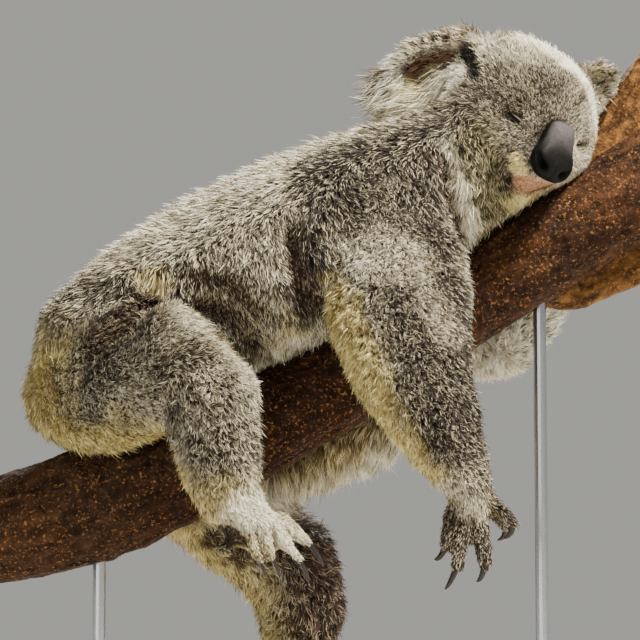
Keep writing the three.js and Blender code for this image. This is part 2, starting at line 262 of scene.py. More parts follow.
def material_of(name, roughness, specular=0.5):
    """A new node material: its nodes, a function that links two sockets, and its Principled shader."""
    material = bpy.data.materials.new(name)
    material.use_nodes = True
    nodes = material.node_tree.nodes
    shader = nodes["Principled BSDF"]
    shader.inputs["Roughness"].default_value = roughness
    shader.inputs["Specular IOR Level"].default_value = specular
    return material, nodes, material.node_tree.links.new, shader


def pattern(nodes, link, kind, scale, detail=4.0, vector=None, **sockets):
    """A noise or cell texture on Object coordinates, or on the vector given; returns the node."""
    texture = nodes.new(kind)
    texture.inputs["Scale"].default_value = scale
    if "Detail" in texture.inputs:
        texture.inputs["Detail"].default_value = detail
    for socket, value in sockets.items():
        texture.inputs[socket].default_value = value
    source = vector or nodes.new("ShaderNodeTexCoord").outputs["Object"]
    link(source, texture.inputs["Vector"])
    return texture


def ramp(nodes, link, factor, *stops):
    """A colour ramp over a factor; each stop is (place, (red, green, blue) on screen)."""
    node = nodes.new("ShaderNodeValToRGB")
    elements = node.color_ramp.elements
    while len(elements) < len(stops):
        elements.new(0.5)
    for element, (place, colour) in zip(elements, stops):
        element.position = place
        element.color = (*linear(*colour), 1)
    link(factor, node.inputs["Fac"])
    return node.outputs["Color"]


def mixed(nodes, link, factor, first, second, blend="MIX"):
    """Two colours mixed by a factor, which is a socket or a number."""
    node = nodes.new("ShaderNodeMix")
    node.data_type = "RGBA"
    node.blend_type = blend
    if hasattr(factor, "links"):
        link(factor, node.inputs[0])
    else:
        node.inputs[0].default_value = factor
    link(first, node.inputs[6])
    link(second, node.inputs[7])
    return node.outputs[2]


def bumped(nodes, link, shader, height, distance, strength=0.6):
    """A bump of this depth in metres from a height socket."""
    bump = nodes.new("ShaderNodeBump")
    bump.inputs["Distance"].default_value = distance
    bump.inputs["Strength"].default_value = strength
    link(height, bump.inputs["Height"])
    link(bump.outputs["Normal"], shader.inputs["Normal"])


def toned(nodes, link, pattern_tone, share=1.0):
    """The piece's own tone multiplied by a pattern's colours."""
    tone = nodes.new("ShaderNodeAttribute")
    tone.attribute_name = "tone"
    return mixed(nodes, link, share, tone.outputs["Color"], pattern_tone, "MULTIPLY")


def fine_noise(name, roughness, specular, scale, detail, dark, stops=(0.3, 0.7), bump=None, rough=0.5):
    """A material whose tone is darkened by a noise of this scale, from the colour given up to none at
    all between two stops, and raised by it as a bump of (depth, strength)."""
    material, nodes, link, shader = material_of(name, roughness, specular)
    grain = pattern(nodes, link, "ShaderNodeTexNoise", scale, detail, Roughness=rough).outputs["Fac"]
    grain_tone = ramp(nodes, link, grain, (stops[0], dark), (stops[1], (1.0, 1.0, 1.0)))
    link(toned(nodes, link, grain_tone), shader.inputs["Base Color"])
    if bump:
        bumped(nodes, link, shader, grain, *bump)
    return material, shader


# The bark: brown and rust grains, with grey patches, fine cracks across the limb, and ochre on the
# fork.
bark, nodes, link, shader = material_of("bark", 0.85, 0.12)
grains = pattern(nodes, link, "ShaderNodeTexVoronoi", 330, Randomness=1.0)
flakes = pattern(nodes, link, "ShaderNodeTexNoise", 95, 6.0, Roughness=0.7)
flake_stops = ((0.30, (0.40, 0.36, 0.34)), (0.5, (0.72, 0.70, 0.68)), (0.72, (1.0, 0.98, 0.95)))
speckle = ramp(nodes, link, grains.outputs["Distance"], (0.0, (1.0, 0.98, 0.94)), (0.75, (0.58, 0.54, 0.52)))
bark_colour = toned(nodes, link, ramp(nodes, link, flakes.outputs["Fac"], *flake_stops))
bark_colour = mixed(nodes, link, 0.75, bark_colour, speckle, "MULTIPLY")
# Lichen and fresh grains: small ochre and orange specks, thick in some places and few in others.
crumbs = pattern(nodes, link, "ShaderNodeTexNoise", 320, 3.0, Roughness=0.75)
crumb_here = ramp(nodes, link, crumbs.outputs["Fac"], (0.56, (0.0, 0.0, 0.0)), (0.66, (0.85, 0.85, 0.85)))
hue = pattern(nodes, link, "ShaderNodeTexNoise", 60, 3.0)
crumb_tone = ramp(nodes, link, hue.outputs["Fac"], (0.35, (0.42, 0.30, 0.19)), (0.65, (0.66, 0.45, 0.23)))
link(mixed(nodes, link, crumb_here, bark_colour, crumb_tone), shader.inputs["Base Color"])
height = mixed(nodes, link, 0.5, flakes.outputs["Fac"], grains.outputs["Distance"])
bumped(nodes, link, shader, height, 0.0016, 0.8)

# The sawn ends: pale heartwood with rings round the pith and a dark rim of bark.
end_grain, _ = fine_noise("sawn_wood", 0.7, 0.3, 400, 3.0, (0.80, 0.80, 0.80), bump=(0.0004,))

points, quads = remeshed(node_copy(["perch_branch"]), BARK_GRAIN)
sawn = smooth_step(SAWN_AT - 0.004, SAWN_AT - 0.0015, np.abs(points[:, 0]))
points = relaxed(points, quads, BARK_ROUNDS, hold=sawn)
outward = normals_of(points, quads)
fit = {name: along_axis(points, stations) for name, stations in BRANCH_AXES.items()}
distance = np.stack([fit[name][0] for name in BRANCH_AXES])
nearest = distance.argmin(axis=0)
reach = np.choose(nearest, [fit[name][1] for name in BRANCH_AXES])
heading = np.stack([fit[name][3] for name in BRANCH_AXES])[nearest, np.arange(len(points))]
# Bark coordinates: squeezed along the limb, so that flakes and ridges run with the grain.
grained = points - 0.62 * heading * (points * heading).sum(axis=1, keepdims=True)
swelling = 0.0022 * noise(points, 0.055, 1) + 0.0014 * noise(points, 0.024, 2)
ridges = 1 - np.abs(noise(grained, 0.0085, 3)) * 2
flaking = 0.0010 * ridges + 0.0011 * noise(grained, 0.0050, 4)
ringed = points + 1.4 * heading * (points * heading).sum(axis=1, keepdims=True)
cracks_across = np.maximum(0, 1 - np.abs(noise(ringed, 0.022, 5)) * 9)
points = points + outward * ((swelling + flaking - 0.0008 * cracks_across - 0.001) * (1 - sawn))[:, None]
warm = smooth_step(-0.35, 0.45, noise(points, 0.05, 6) + 0.4 * noise(grained, 0.009, 7))
ochre = smooth_step(0.0, 0.25, (nearest > 0) * 0.25 + 0.10 * noise(points, 0.02, 8) - 0.04)
grey = smooth_step(0.25, 0.75, smooth_step(-0.06, -0.24, points[:, 0]) + 0.5 * noise(points, 0.035, 9))
bark_tone = linear(0.32, 0.215, 0.14) * (1 - warm)[:, None] + linear(0.44, 0.295, 0.18) * warm[:, None]
bark_tone += (linear(0.67, 0.49, 0.27) - bark_tone) * ochre[:, None]
bark_tone += (linear(0.40, 0.32, 0.24) - bark_tone) * (0.5 * grey)[:, None]
bark_tone *= (0.62 + 0.5 * smooth_step(-0.6, 0.9, ridges + noise(grained, 0.004, 10)))[:, None]
bark_tone *= (1 + 0.85 * ochre * noise(grained, 0.0042, 12)).clip(0.15, 2)[:, None]
from_pith = distance.min(axis=0)
ring = 0.5 + 0.5 * np.sin(from_pith * 46 + 1.4 * noise(points, 0.03, 11))
wood_tone = linear(0.74, 0.58, 0.42) * (0.72 + 0.28 * ring)[:, None]
wood_tone += (linear(0.30, 0.21, 0.16) - wood_tone) * smooth_step(0.88, 0.97, from_pith)[:, None]
branch_piece = new_piece("branch_wood", points, quads, [bark, end_grain])
face_sawn = (sawn[quads].min(axis=1) > 0.99).astype(np.int32)
branch_piece.data.polygons.foreach_set("material_index", face_sawn)
colour_points(branch_piece, np.where(sawn[:, None] > 0.99, wood_tone, bark_tone))
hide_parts("perch_branch")


# ---- Skin ----
# One closed skin over the whole animal and its ears, down to the palms and soles. It lies under the
# coat by the coat's depth, and shows only between the hairs, in the ear's opening and on the lip.
SIDES = ("right", "left")
LIMB_PARTS = ("upper_arm", "forearm", "hand", "thigh", "shank", "foot")
FLESH = ["trunk", "neck", "head", *(f"{side}_{part}" for side in SIDES for part in LIMB_PARTS)]
HANDS = [f"{side}_{part}" for side in SIDES for part in ("hand", "foot")]
OVERLAP = 0.0007
SKIN_GRAIN = 0.00315
SKIN_ROUNDS = 27
HEAD_MIDDLE = np.array((0.183, -0.012, 0.630))
HEAD_TURN, HEAD_DIP, HEAD_ROLL = (math.radians(angle) for angle in (25, 16, 18))
# Lines through the body for the lie of its coat: a place in millimetres, half the flesh's thickness, the
# hair's length, and how far it stands up in thousandths: 0 lies flat and 1000 stands on end.
COAT_LINES = {
    "trunk": metres(
        (-221, 4, 373, 58, 9.5, 520), (-147, 2, 446, 85, 10.5, 500), (-11, 0, 511, 90, 12.5, 440),
        (100, -5, 567, 76, 11.5, 460),
    ),
    "belly": metres(
        (-98, 50, 360, 55, 15, 400), (40, 60, 360, 55, 18, 380),
    ),
    "neck": metres(
        (100, -5, 567, 74, 12, 450), (160, -14, 600, 60, 9, 420),
    ),
    "head": metres(
        (160, 10, 640, 70, 10, 500), (205, -55, 612, 55, 4.2, 360),
    ),
    "right_arm": metres(
        (66, -45, 528, 55, 10.5, 520), (70, -78, 450, 52, 9.5, 550), (102, -101, 344, 36, 8.5, 550),
        (132, -90, 278, 22, 6, 420), (134, -92, 225, 20, 4, 240),
    ),
    "left_arm": metres(
        (104, 50, 522, 45, 12, 520), (126, 76, 474, 38, 12, 500), (160, 88, 434, 35, 12, 500),
        (204, 78, 466, 27, 10, 500), (226, 72, 496, 20, 6, 400), (262, 70, 530, 20, 4, 240),
    ),
    "right_leg": metres(
        (-204, -46, 374, 55, 10.5, 520), (-120, -100, 392, 52, 9.5, 550), (-95, -110, 346, 40, 9, 550),
        (-89, -106, 306, 35, 8.5, 550), (-78, -100, 268, 28, 6.5, 420), (-35, -105, 230, 22, 3.8, 240),
    ),
    "left_leg": metres(
        (-196, 48, 368, 50, 12, 550), (-82, 88, 266, 47, 13, 500), (-30, 88, 226, 44, 13, 500),
        (-18, 86, 182, 39, 12, 500), (-22, 82, 142, 32, 10, 500), (-34, 79, 106, 27, 6, 400),
        (10, 78, 68, 22, 4, 240),
    ),
}
REGIONS = list(COAT_LINES)
# Folds pressed into the flesh where limbs meet the trunk: half width, depth and places, in millimetres.
FOLDS = {
    "thigh": (
        10,
        21,
        (-214, -100, 392), (-198, -112, 412), (-174, -114, 434), (-141, -105, 452), (-112, -98, 452),
        (-86, -86, 444), (-68, -68, 428), (-57, -36, 405),
    ),
    "shoulder": (9, 17, (-26, -98, 520), (-22, -92, 486), (-14, -84, 466), (-4, -72, 445), (4, -60, 425)),
    "flank": (7, 6, (-130, -98, 480), (-90, -98, 474), (-50, -85, 440)),
    "neck": (8, 8, (108, -80, 600), (118, -78, 560), (130, -60, 520)),
    "hip": (10, 14, (-160, -100, 470), (-150, -98, 450), (-128, -98, 447)),
    "sole": (10, 12, (-92, -102, 246), (-82, -118, 239), (-73, -114, 236)),
}
# Each digit from its root over its knuckle to its tip, and the point of its claw.
DIGITS = {
    "right_hand": metres(
        ((119, -88, 268), (115, -95, 248), (111, -93, 230), (101, -86, 221)),
        ((127, -94, 266), (126, -101, 237), (121, -98, 213), (110, -92, 194)),
        ((140, -92, 266), (144, -99, 237), (146, -96, 215), (138, -90, 201)),
        ((148, -90, 276), (161, -93, 267), (171, -92, 253), (162, -88, 239)),
        ((148, -76, 274), (158, -70, 262), (166, -66, 251), (158, -64, 239)),
    ),
    "left_hand": metres(
        ((246, 74, 504), (262, 76, 506), (276, 70, 511), (287, 62, 513)),
        ((248, 70, 512), (267, 76, 522), (281, 75, 533), (292, 68, 540)),
        ((242, 66, 522), (256, 70, 538), (266, 67, 552), (274, 61, 562)),
        ((234, 66, 520), (238, 64, 540), (243, 60, 556), (250, 52, 567)),
        ((226, 66, 512), (222, 63, 532), (222, 57, 548), (226, 47, 558)),
    ),
    "right_foot": metres(
        ((-66, -116, 247), (-59, -124, 232), (-53, -124, 218), (-48, -119, 204)),
        ((-57, -112, 247), (-48, -120, 232), (-41, -121, 219), (-36, -115, 203)),
        ((-46, -104, 250), (-30, -112, 235), (-18, -112, 220), (-11, -106, 199)),
        ((-37, -90, 255), (-21, -93, 245), (-10, -93, 235), (3, -87, 214)),
    ),
    "left_foot": metres(
        ((-8, 94, 76), (7, 98, 72), (18, 98, 62), (27, 95, 48)),
        ((-2, 87, 74), (15, 89, 70), (27, 89, 60), (36, 86, 45)),
        ((0, 76, 74), (18, 76, 70), (31, 76, 60), (41, 74, 44)),
        ((-6, 64, 76), (11, 62, 72), (23, 62, 62), (32, 62, 47)),
    ),
}
DIGIT_RADIUS = 0.0085
EARS = {
    "right": {"middle": (0.109, -0.004, 0.676), "reaches": (-0.98, 0.1, -0.22), "faces": (0.12, -0.86, -0.5)},
    "left": {"middle": (0.255, 0.004, 0.667), "reaches": (0.80, 0.1, 0.5), "faces": (0.2, -0.9, -0.35)},
}
EAR_HALF = {"right": (0.046, 0.034, 0.0070), "left": (0.021, 0.019, 0.0060)}


def head_axes():
    """The head's own axes: ahead is turned from −Y towards +X and dipped, and left and crown are then
    turned about it by the roll."""
    ahead = np.array(
        (
            math.sin(HEAD_TURN) * math.cos(HEAD_DIP),
            -math.cos(HEAD_TURN) * math.cos(HEAD_DIP),
            -math.sin(HEAD_DIP),
        )
    )
    level = unit(np.cross((0, 0, 1), ahead))
    upright = np.cross(ahead, level)
    left = level * math.cos(HEAD_ROLL) - upright * math.sin(HEAD_ROLL)
    crown = upright * math.cos(HEAD_ROLL) + level * math.sin(HEAD_ROLL)
    return np.stack((ahead, left, crown))


HEAD_AXES = head_axes()


def to_head(points):
    """Places as (ahead, left, crown) from the middle of the head, in metres."""
    return (points - HEAD_MIDDLE) @ HEAD_AXES.T


def from_head(places):
    """The other way round: from (ahead, left, crown) to the model's own places."""
    return np.asarray(places) @ HEAD_AXES + HEAD_MIDDLE


def closed_rings(rings, around):
    """Triangles that join each ring of points to the next, and the first and the last ring to the two
    single points that follow all the rings."""
    row, column = np.divmod(np.arange((rings - 1) * around), around)
    after = (column + 1) % around
    a, b = row * around + column, (row + 1) * around + column
    c, d = (row + 1) * around + after, row * around + after
    ring = np.arange(around)
    ahead = (ring + 1) % around
    last = (rings - 1) * around
    first_cap = np.stack((np.full(around, rings * around), ring, ahead), axis=1)
    last_cap = np.stack((np.full(around, rings * around + 1), last + ahead, last + ring), axis=1)
    return np.concatenate((np.stack((a, b, c), 1), np.stack((a, c, d), 1), first_cap, last_cap))


def ball_grid(around, along):
    """Points of a unit ball on rings about Z from the top pole to the bottom one, and its triangles."""
    polar = np.linspace(0, np.pi, along + 1)[1:-1]
    turn = np.linspace(0, 2 * np.pi, around, endpoint=False)
    p, t = np.meshgrid(polar, turn, indexing="ij")
    rings = np.stack((np.sin(p) * np.cos(t), np.sin(p) * np.sin(t), np.cos(p)), axis=-1).reshape(-1, 3)
    return np.concatenate((rings, [(0, 0, 1), (0, 0, -1)])), closed_rings(along - 1, around)


def ear_axes(side):
    """An ear's own axes: out from its root, along its rim, and the way that its hollow faces."""
    out = unit(np.array(EARS[side]["reaches"]))
    facing = np.array(EARS[side]["faces"])
    front = unit(facing - out * (out @ facing))
    return np.stack((out, np.cross(front, out), front))


def from_ear(side, places):
    """Places given as shares of an ear's half length, height and thickness, in the model's own places."""
    return np.asarray(places) * EAR_HALF[side] @ ear_axes(side) + EARS[side]["middle"]


def ear_flap(side):
    """A thin dish: a ball pressed flat whose rim curls forward by the cube of its distance from the
    middle, and whose front is let in by 1 − x² − y². Its half towards the root is squared off, with each
    point moved out to |x|³ + |y|³ = 1 from x² + y² = 1, so that it joins the crown along a broad base."""
    ball, faces = ball_grid(48, 32)
    x, y, z = ball.T
    out = x**2 + y**2
    squared = np.sqrt(out) / np.maximum((np.abs(x) ** 3 + np.abs(y) ** 3) ** (1 / 3), 1e-9)
    wider = 1 + (np.where(out > 1e-9, squared, 1) - 1) * smooth_step(0.1, -0.5, x)
    lifted = z - 1.5 * (1 - out) * np.where(z > 0, 1.5, 0.9) + 1.3 * out**1.5 - 0.4
    return from_ear(side, np.stack((x * wider, y * wider, lifted), axis=1)), faces


flesh = bmesh.new()
flesh.from_mesh(node_copy(FLESH, OVERLAP))
for side in SIDES:
    flesh.from_mesh(new_mesh("flap", *ear_flap(side)))
together = bpy.data.meshes.new("together")
flesh.to_mesh(together)
flesh.free()
points, quads = remeshed(together, SKIN_GRAIN)


def near_node(points, node, reach):
    """1 inside a CAD node's box, falling to 0 at this distance outside it."""
    low, high = (np.array(corner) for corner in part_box(node))
    outside = np.maximum(np.maximum(low - points, points - high), 0)
    return 1 - smooth_step(0, reach, np.linalg.norm(outside, axis=1))


def ear_share(points):
    """1 on an ear's flap and 0 away from it, and how far a point lies from the ear's middle in radii."""
    share = np.zeros(len(points))
    spread = np.zeros(len(points))
    for side in SIDES:
        x, y, z = ((points - EARS[side]["middle"]) @ ear_axes(side).T / EAR_HALF[side]).T
        flat = np.hypot(x, y)
        near = (1 - smooth_step(1.05, 1.4, flat)) * (1 - smooth_step(2.6, 4.5, np.abs(z)))
        near *= smooth_step(-1.05, -0.75, x)
        share = np.maximum(share, near)
        spread = np.where(near > 0, np.maximum(spread, flat), spread)
    return share, spread


# Where the hair is longer than about it: a rod's radius in millimetres, how much longer the hair is, how
# far it stands up, and places along the rod.
LONG_HAIR = [
    (15, 5, 0.7, (135, -30, 700), (160, -35, 702)),
    (12, 7, 0.32, (118, -76, 590), (128, -70, 560), (137, -55, 530)),
    (20, 8, 0.5, (70, 0, 645), (110, -10, 650)),
    (45, 6, 0.6, (-120, 50, 300), (70, 60, 300)),
    (16, 6, 0.75, (-160, -78, 468), (-140, -77, 464)),
]


EAR_HAIR, EAR_RIM_LONGER, EAR_SWEEP_LONGER = 0.011, 0.005, 0.017
LEFT_EAR_SHORTER = 0.4
BETWEEN_EARS = 0.2


def ear_sweep(points):
    """1 on the lower front of the right ear, whose long hair hangs down and back over its rim."""
    x, y, z = ((points - EARS["right"]["middle"]) @ ear_axes("right").T / EAR_HALF["right"]).T
    near = (1 - smooth_step(1.3, 1.7, np.hypot(x, y))) * (1 - smooth_step(3.5, 5.0, np.abs(z)))
    return near * smooth_step(-0.40, 0.0, y + 0.15 * x) * smooth_step(-2.5, -0.5, z)


EYE_CORNERS = {
    "right": ((0.0515, -0.0440, -0.0015), (0.0705, -0.0255, -0.0105)),
    "left": ((0.0545, 0.0530, 0.0030), (0.0705, 0.0330, -0.0065)),
}


def eye_distance(points, side):
    """How far each point lies from the line between an eye's corners, in metres."""
    outer, inner = (from_head(corner) for corner in EYE_CORNERS[side])
    return along_rod(points, (outer, inner))


def rise_angles(standing):
    """The two angles above the skin of a hair's lower and upper half."""
    return np.minimum(1.8 * standing, 1.48), 0.9 * standing


def coat_fields(points, folded):
    """How the coat grows at each point: the shares of the body's regions, each exp(−9 × how much farther
    its line lies than the nearest), the hair's length and how far it stands up, and the lines' direction."""
    found = {name: along_axis(points, stations) for name, stations in COAT_LINES.items()}
    far = np.stack([found[name][0] for name in REGIONS], axis=1)
    share = np.exp(-9 * (far - far.min(axis=1, keepdims=True)))
    share /= share.sum(axis=1, keepdims=True)
    values = sum(share[:, k, None] * found[name][2] for k, name in enumerate(REGIONS))
    heading = sum(share[:, k, None] * found[name][3] for k, name in enumerate(REGIONS))
    ear, spread = ear_share(points)
    rim = smooth_step(0.72, 1.02, spread)
    shorter = 1 - LEFT_EAR_SHORTER * (points[:, 0] > BETWEEN_EARS)
    ear_hair = EAR_HAIR + EAR_RIM_LONGER * rim + EAR_SWEEP_LONGER * ear_sweep(points)
    length = values[:, 4] * (1 - ear) + ear * shorter * ear_hair
    standing = values[:, 5] * (1 - ear) + ear * (0.45 + 0.25 * rim)
    slit = np.min([eye_distance(points, side) for side in SIDES], axis=0)
    length = length * (0.25 + 0.75 * smooth_step(0.003, 0.013, slit))
    length = length * (1 - 0.6 * folded)
    for radius, by, rise, *places in LONG_HAIR:
        here = 1 - smooth_step(0.6, 1.2, along_rod(points, metres(*places), radius / 1000))
        length = length + by / 1000 * here
        standing = standing + (rise - standing) * here
    standing = standing * (0.5 + 0.5 * smooth_step(0.003, 0.014, slit))
    return share, length, standing, unit(heading)


in_hand = np.max([near_node(points, node, 0.01) for node in HANDS], axis=0)
on_ear, _ = ear_share(points)


def beside_digits(points):
    """How far each point lies from the nearest digit's line in radii, how much farther the next digit is,
    how far along the digit it lies in metres, and the digit's direction there."""
    best = np.full(len(points), np.inf)
    second = np.full(len(points), np.inf)
    reached = np.zeros(len(points))
    heading = np.zeros((len(points), 3))
    for hand in HANDS:
        for root, knuckle, tip, _ in DIGITS[hand]:
            stations = [(*place, DIGIT_RADIUS) for place in (root, knuckle, tip)]
            far, along, _, way = along_axis(points, stations)
            second = np.minimum(second, np.maximum(far, best))
            nearer = far < best
            best = np.where(nearer, far, best)
            reached = np.where(nearer, along, reached)
            heading[nearer] = way[nearer]
    return best, second - best, reached, heading


on_head = 1 - smooth_step(0.95, 1.35, np.linalg.norm(to_head(points) / (0.080, 0.075, 0.078), axis=1))
points = relaxed(points, quads, SKIN_ROUNDS, hold=np.clip(in_hand + on_ear + 0.4 * on_head, 0, 0.985))
points = relaxed(points, quads, 2, hold=0.3)
outward = normals_of(points, quads)
# The clefts between neighbouring digits, which are deeper on the feet, and the feet's tapered toes.
digit_far, digit_gap, digit_reached, _ = beside_digits(points)
cleft = np.exp(-((digit_gap / 0.30) ** 2)) * smooth_step(0.000, 0.008, digit_reached)
on_foot = np.max([near_node(points, f"{side}_foot", 0.01) for side in SIDES], axis=0)
tapered = smooth_step(0.016, 0.036, digit_reached) * on_foot
CLEFT_DEPTH, FOOT_CLEFT_DEEPER, TOE_TAPER = 0.0032, 0.0016, 0.0028
pinched = (CLEFT_DEPTH + FOOT_CLEFT_DEEPER * on_foot) * cleft + TOE_TAPER * tapered
points = points - outward * (pinched * (1 - smooth_step(1.3, 2.0, digit_far)))[:, None]
outward = normals_of(points, quads)
# Loose skin hangs in soft folds that run down the flank, and is slightly uneven elsewhere.
hanging = points * (1, 1, 0.25) + 0.25 * points[:, [2]] * (1, 0, 0)
on_flank = smooth_step(0.06, 0.01, np.abs(points[:, 2] - 0.55 * points[:, 0] - 0.505)) * (points[:, 0] < 0.03)
UNEVEN, FLANK_FOLDS, FOLDS_APART = 0.0018, 0.0045, 0.022
uneven = UNEVEN * noise(points, FOLDS_APART, 61) + FLANK_FOLDS * on_flank * noise(hanging, FOLDS_APART, 62)
sunk = uneven * (1 - in_hand) * (1 - on_ear) * (1 - 0.8 * on_head)
folded = np.zeros(len(points))
for half_width, deep, *places in FOLDS.values():
    across = np.exp(-((along_rod(points, metres(*places)) / (half_width / 1000)) ** 2))
    sunk += deep / 1000 * across
    folded = np.maximum(folded, across / across.max())
points = points - outward * sunk[:, None]
points = relaxed(points, quads, 1)
_, hair_length, standing, _ = coat_fields(points, folded)
first_rise, second_rise = rise_angles(standing)
depth = 0.5 * hair_length * (np.sin(first_rise) + np.sin(second_rise)) * 0.9 * (1 - on_ear)
points = points - normals_of(points, quads) * depth[:, None]
points = relaxed(points, quads, 2, hold=np.clip(in_hand + on_ear, 0, 1))

# The forms of the face that its short coat shows, about the head's middle: towards, out by, and width
# in radians.
FACE_FORMS = {
    "bridge": ((0.98, 0.00, 0.10), 0.0030, 0.16),
    "right_lip": ((0.84, -0.27, -0.47), 0.0050, 0.15),
    "left_lip": ((0.84, 0.27, -0.47), 0.0040, 0.16),
    "mouth": ((0.72, -0.20, -0.66), -0.0045, 0.09),
    "chin": ((0.62, 0.06, -0.78), 0.0040, 0.16),
    "right_brow": ((0.80, -0.52, 0.22), 0.0032, 0.15),
    "left_brow": ((0.80, 0.52, 0.22), 0.0032, 0.15),
    "right_socket": ((0.85, -0.50, -0.06), -0.0030, 0.13),
    "left_socket": ((0.83, 0.56, -0.06), -0.0025, 0.11),
    "left_temple": ((0.70, 0.70, 0.02), 0.0050, 0.30),
    "right_cheek": ((0.52, -0.72, -0.38), 0.0040, 0.30),
    "left_cheek": ((0.60, 0.72, -0.30), 0.0050, 0.30),
    "under_eye": ((0.72, -0.58, -0.26), -0.0016, 0.13),
}
from_middle = to_head(points)
bearing = unit(from_middle)
swell = np.zeros(len(points))
for towards, by, spread in FACE_FORMS.values():
    angle = np.arccos(np.clip(bearing @ unit(np.array(towards)), -1, 1))
    swell += by * np.exp(-((angle / spread) ** 2))
near_head = 1 - smooth_step(0.085, 0.11, np.linalg.norm(from_middle, axis=1))
skin_points = points + normals_of(points, quads) * (swell * near_head)[:, None]
skin_quads = quads
skin_normals = normals_of(skin_points, skin_quads)

# Shades of the coat: screen colours of a hair's root, its dark middle and dark tip, and its pale middle
# and pale tip, with the share of hairs that are pale. The dark roots are partly the fur's own dark base
# and partly painted shade deep between the hairs.
SHADES = {
    "grey": (
        (0.11, 0.09, 0.06), (0.24, 0.2, 0.145), (0.33, 0.285, 0.21),
        (0.63, 0.57, 0.455), (0.98, 0.94, 0.82), 0.42,
    ),
    "olive": (
        (0.11, 0.09, 0.05), (0.25, 0.215, 0.13), (0.33, 0.29, 0.185),
        (0.56, 0.51, 0.36), (0.86, 0.81, 0.63), 0.34,
    ),
    "dark": (
        (0.06, 0.045, 0.03), (0.14, 0.11, 0.08), (0.2, 0.165, 0.12),
        (0.45, 0.39, 0.3), (0.9, 0.84, 0.71), 0.23,
    ),
    "pale": (
        (0.29, 0.25, 0.18), (0.51, 0.46, 0.36), (0.63, 0.57, 0.46),
        (0.86, 0.81, 0.69), (1, 0.97, 0.88), 0.66,
    ),
    "white": (
        (0.66, 0.62, 0.5), (0.8, 0.76, 0.65), (0.86, 0.82, 0.71),
        (0.95, 0.92, 0.82), (1, 0.98, 0.91), 0.85,
    ),
    "cream": (
        (0.46, 0.37, 0.18), (0.68, 0.58, 0.32), (0.75, 0.66, 0.39),
        (0.88, 0.8, 0.52), (0.97, 0.91, 0.68), 0.72,
    ),
    "tan": (
        (0.3, 0.24, 0.13), (0.5, 0.42, 0.25), (0.57, 0.49, 0.31),
        (0.74, 0.66, 0.45), (0.9, 0.84, 0.65), 0.5,
    ),
    "brown": (
        (0.1, 0.07, 0.05), (0.23, 0.17, 0.12), (0.3, 0.23, 0.17),
        (0.52, 0.43, 0.33), (0.8, 0.72, 0.6), 0.22,
    ),
    "rust": (
        (0.2, 0.1, 0.06), (0.4, 0.23, 0.15), (0.52, 0.33, 0.23),
        (0.7, 0.5, 0.38), (0.89, 0.77, 0.66), 0.35,
    ),
    "black": (
        (0.015, 0.015, 0.015), (0.04, 0.035, 0.03), (0.06, 0.05, 0.04),
        (0.09, 0.08, 0.07), (0.15, 0.13, 0.12), 0.1,
    ),
    "lip": (
        (0.64, 0.46, 0.34), (0.7, 0.53, 0.4), (0.74, 0.57, 0.44),
        (0.8, 0.65, 0.52), (0.86, 0.75, 0.62), 0.3,
    ),
}
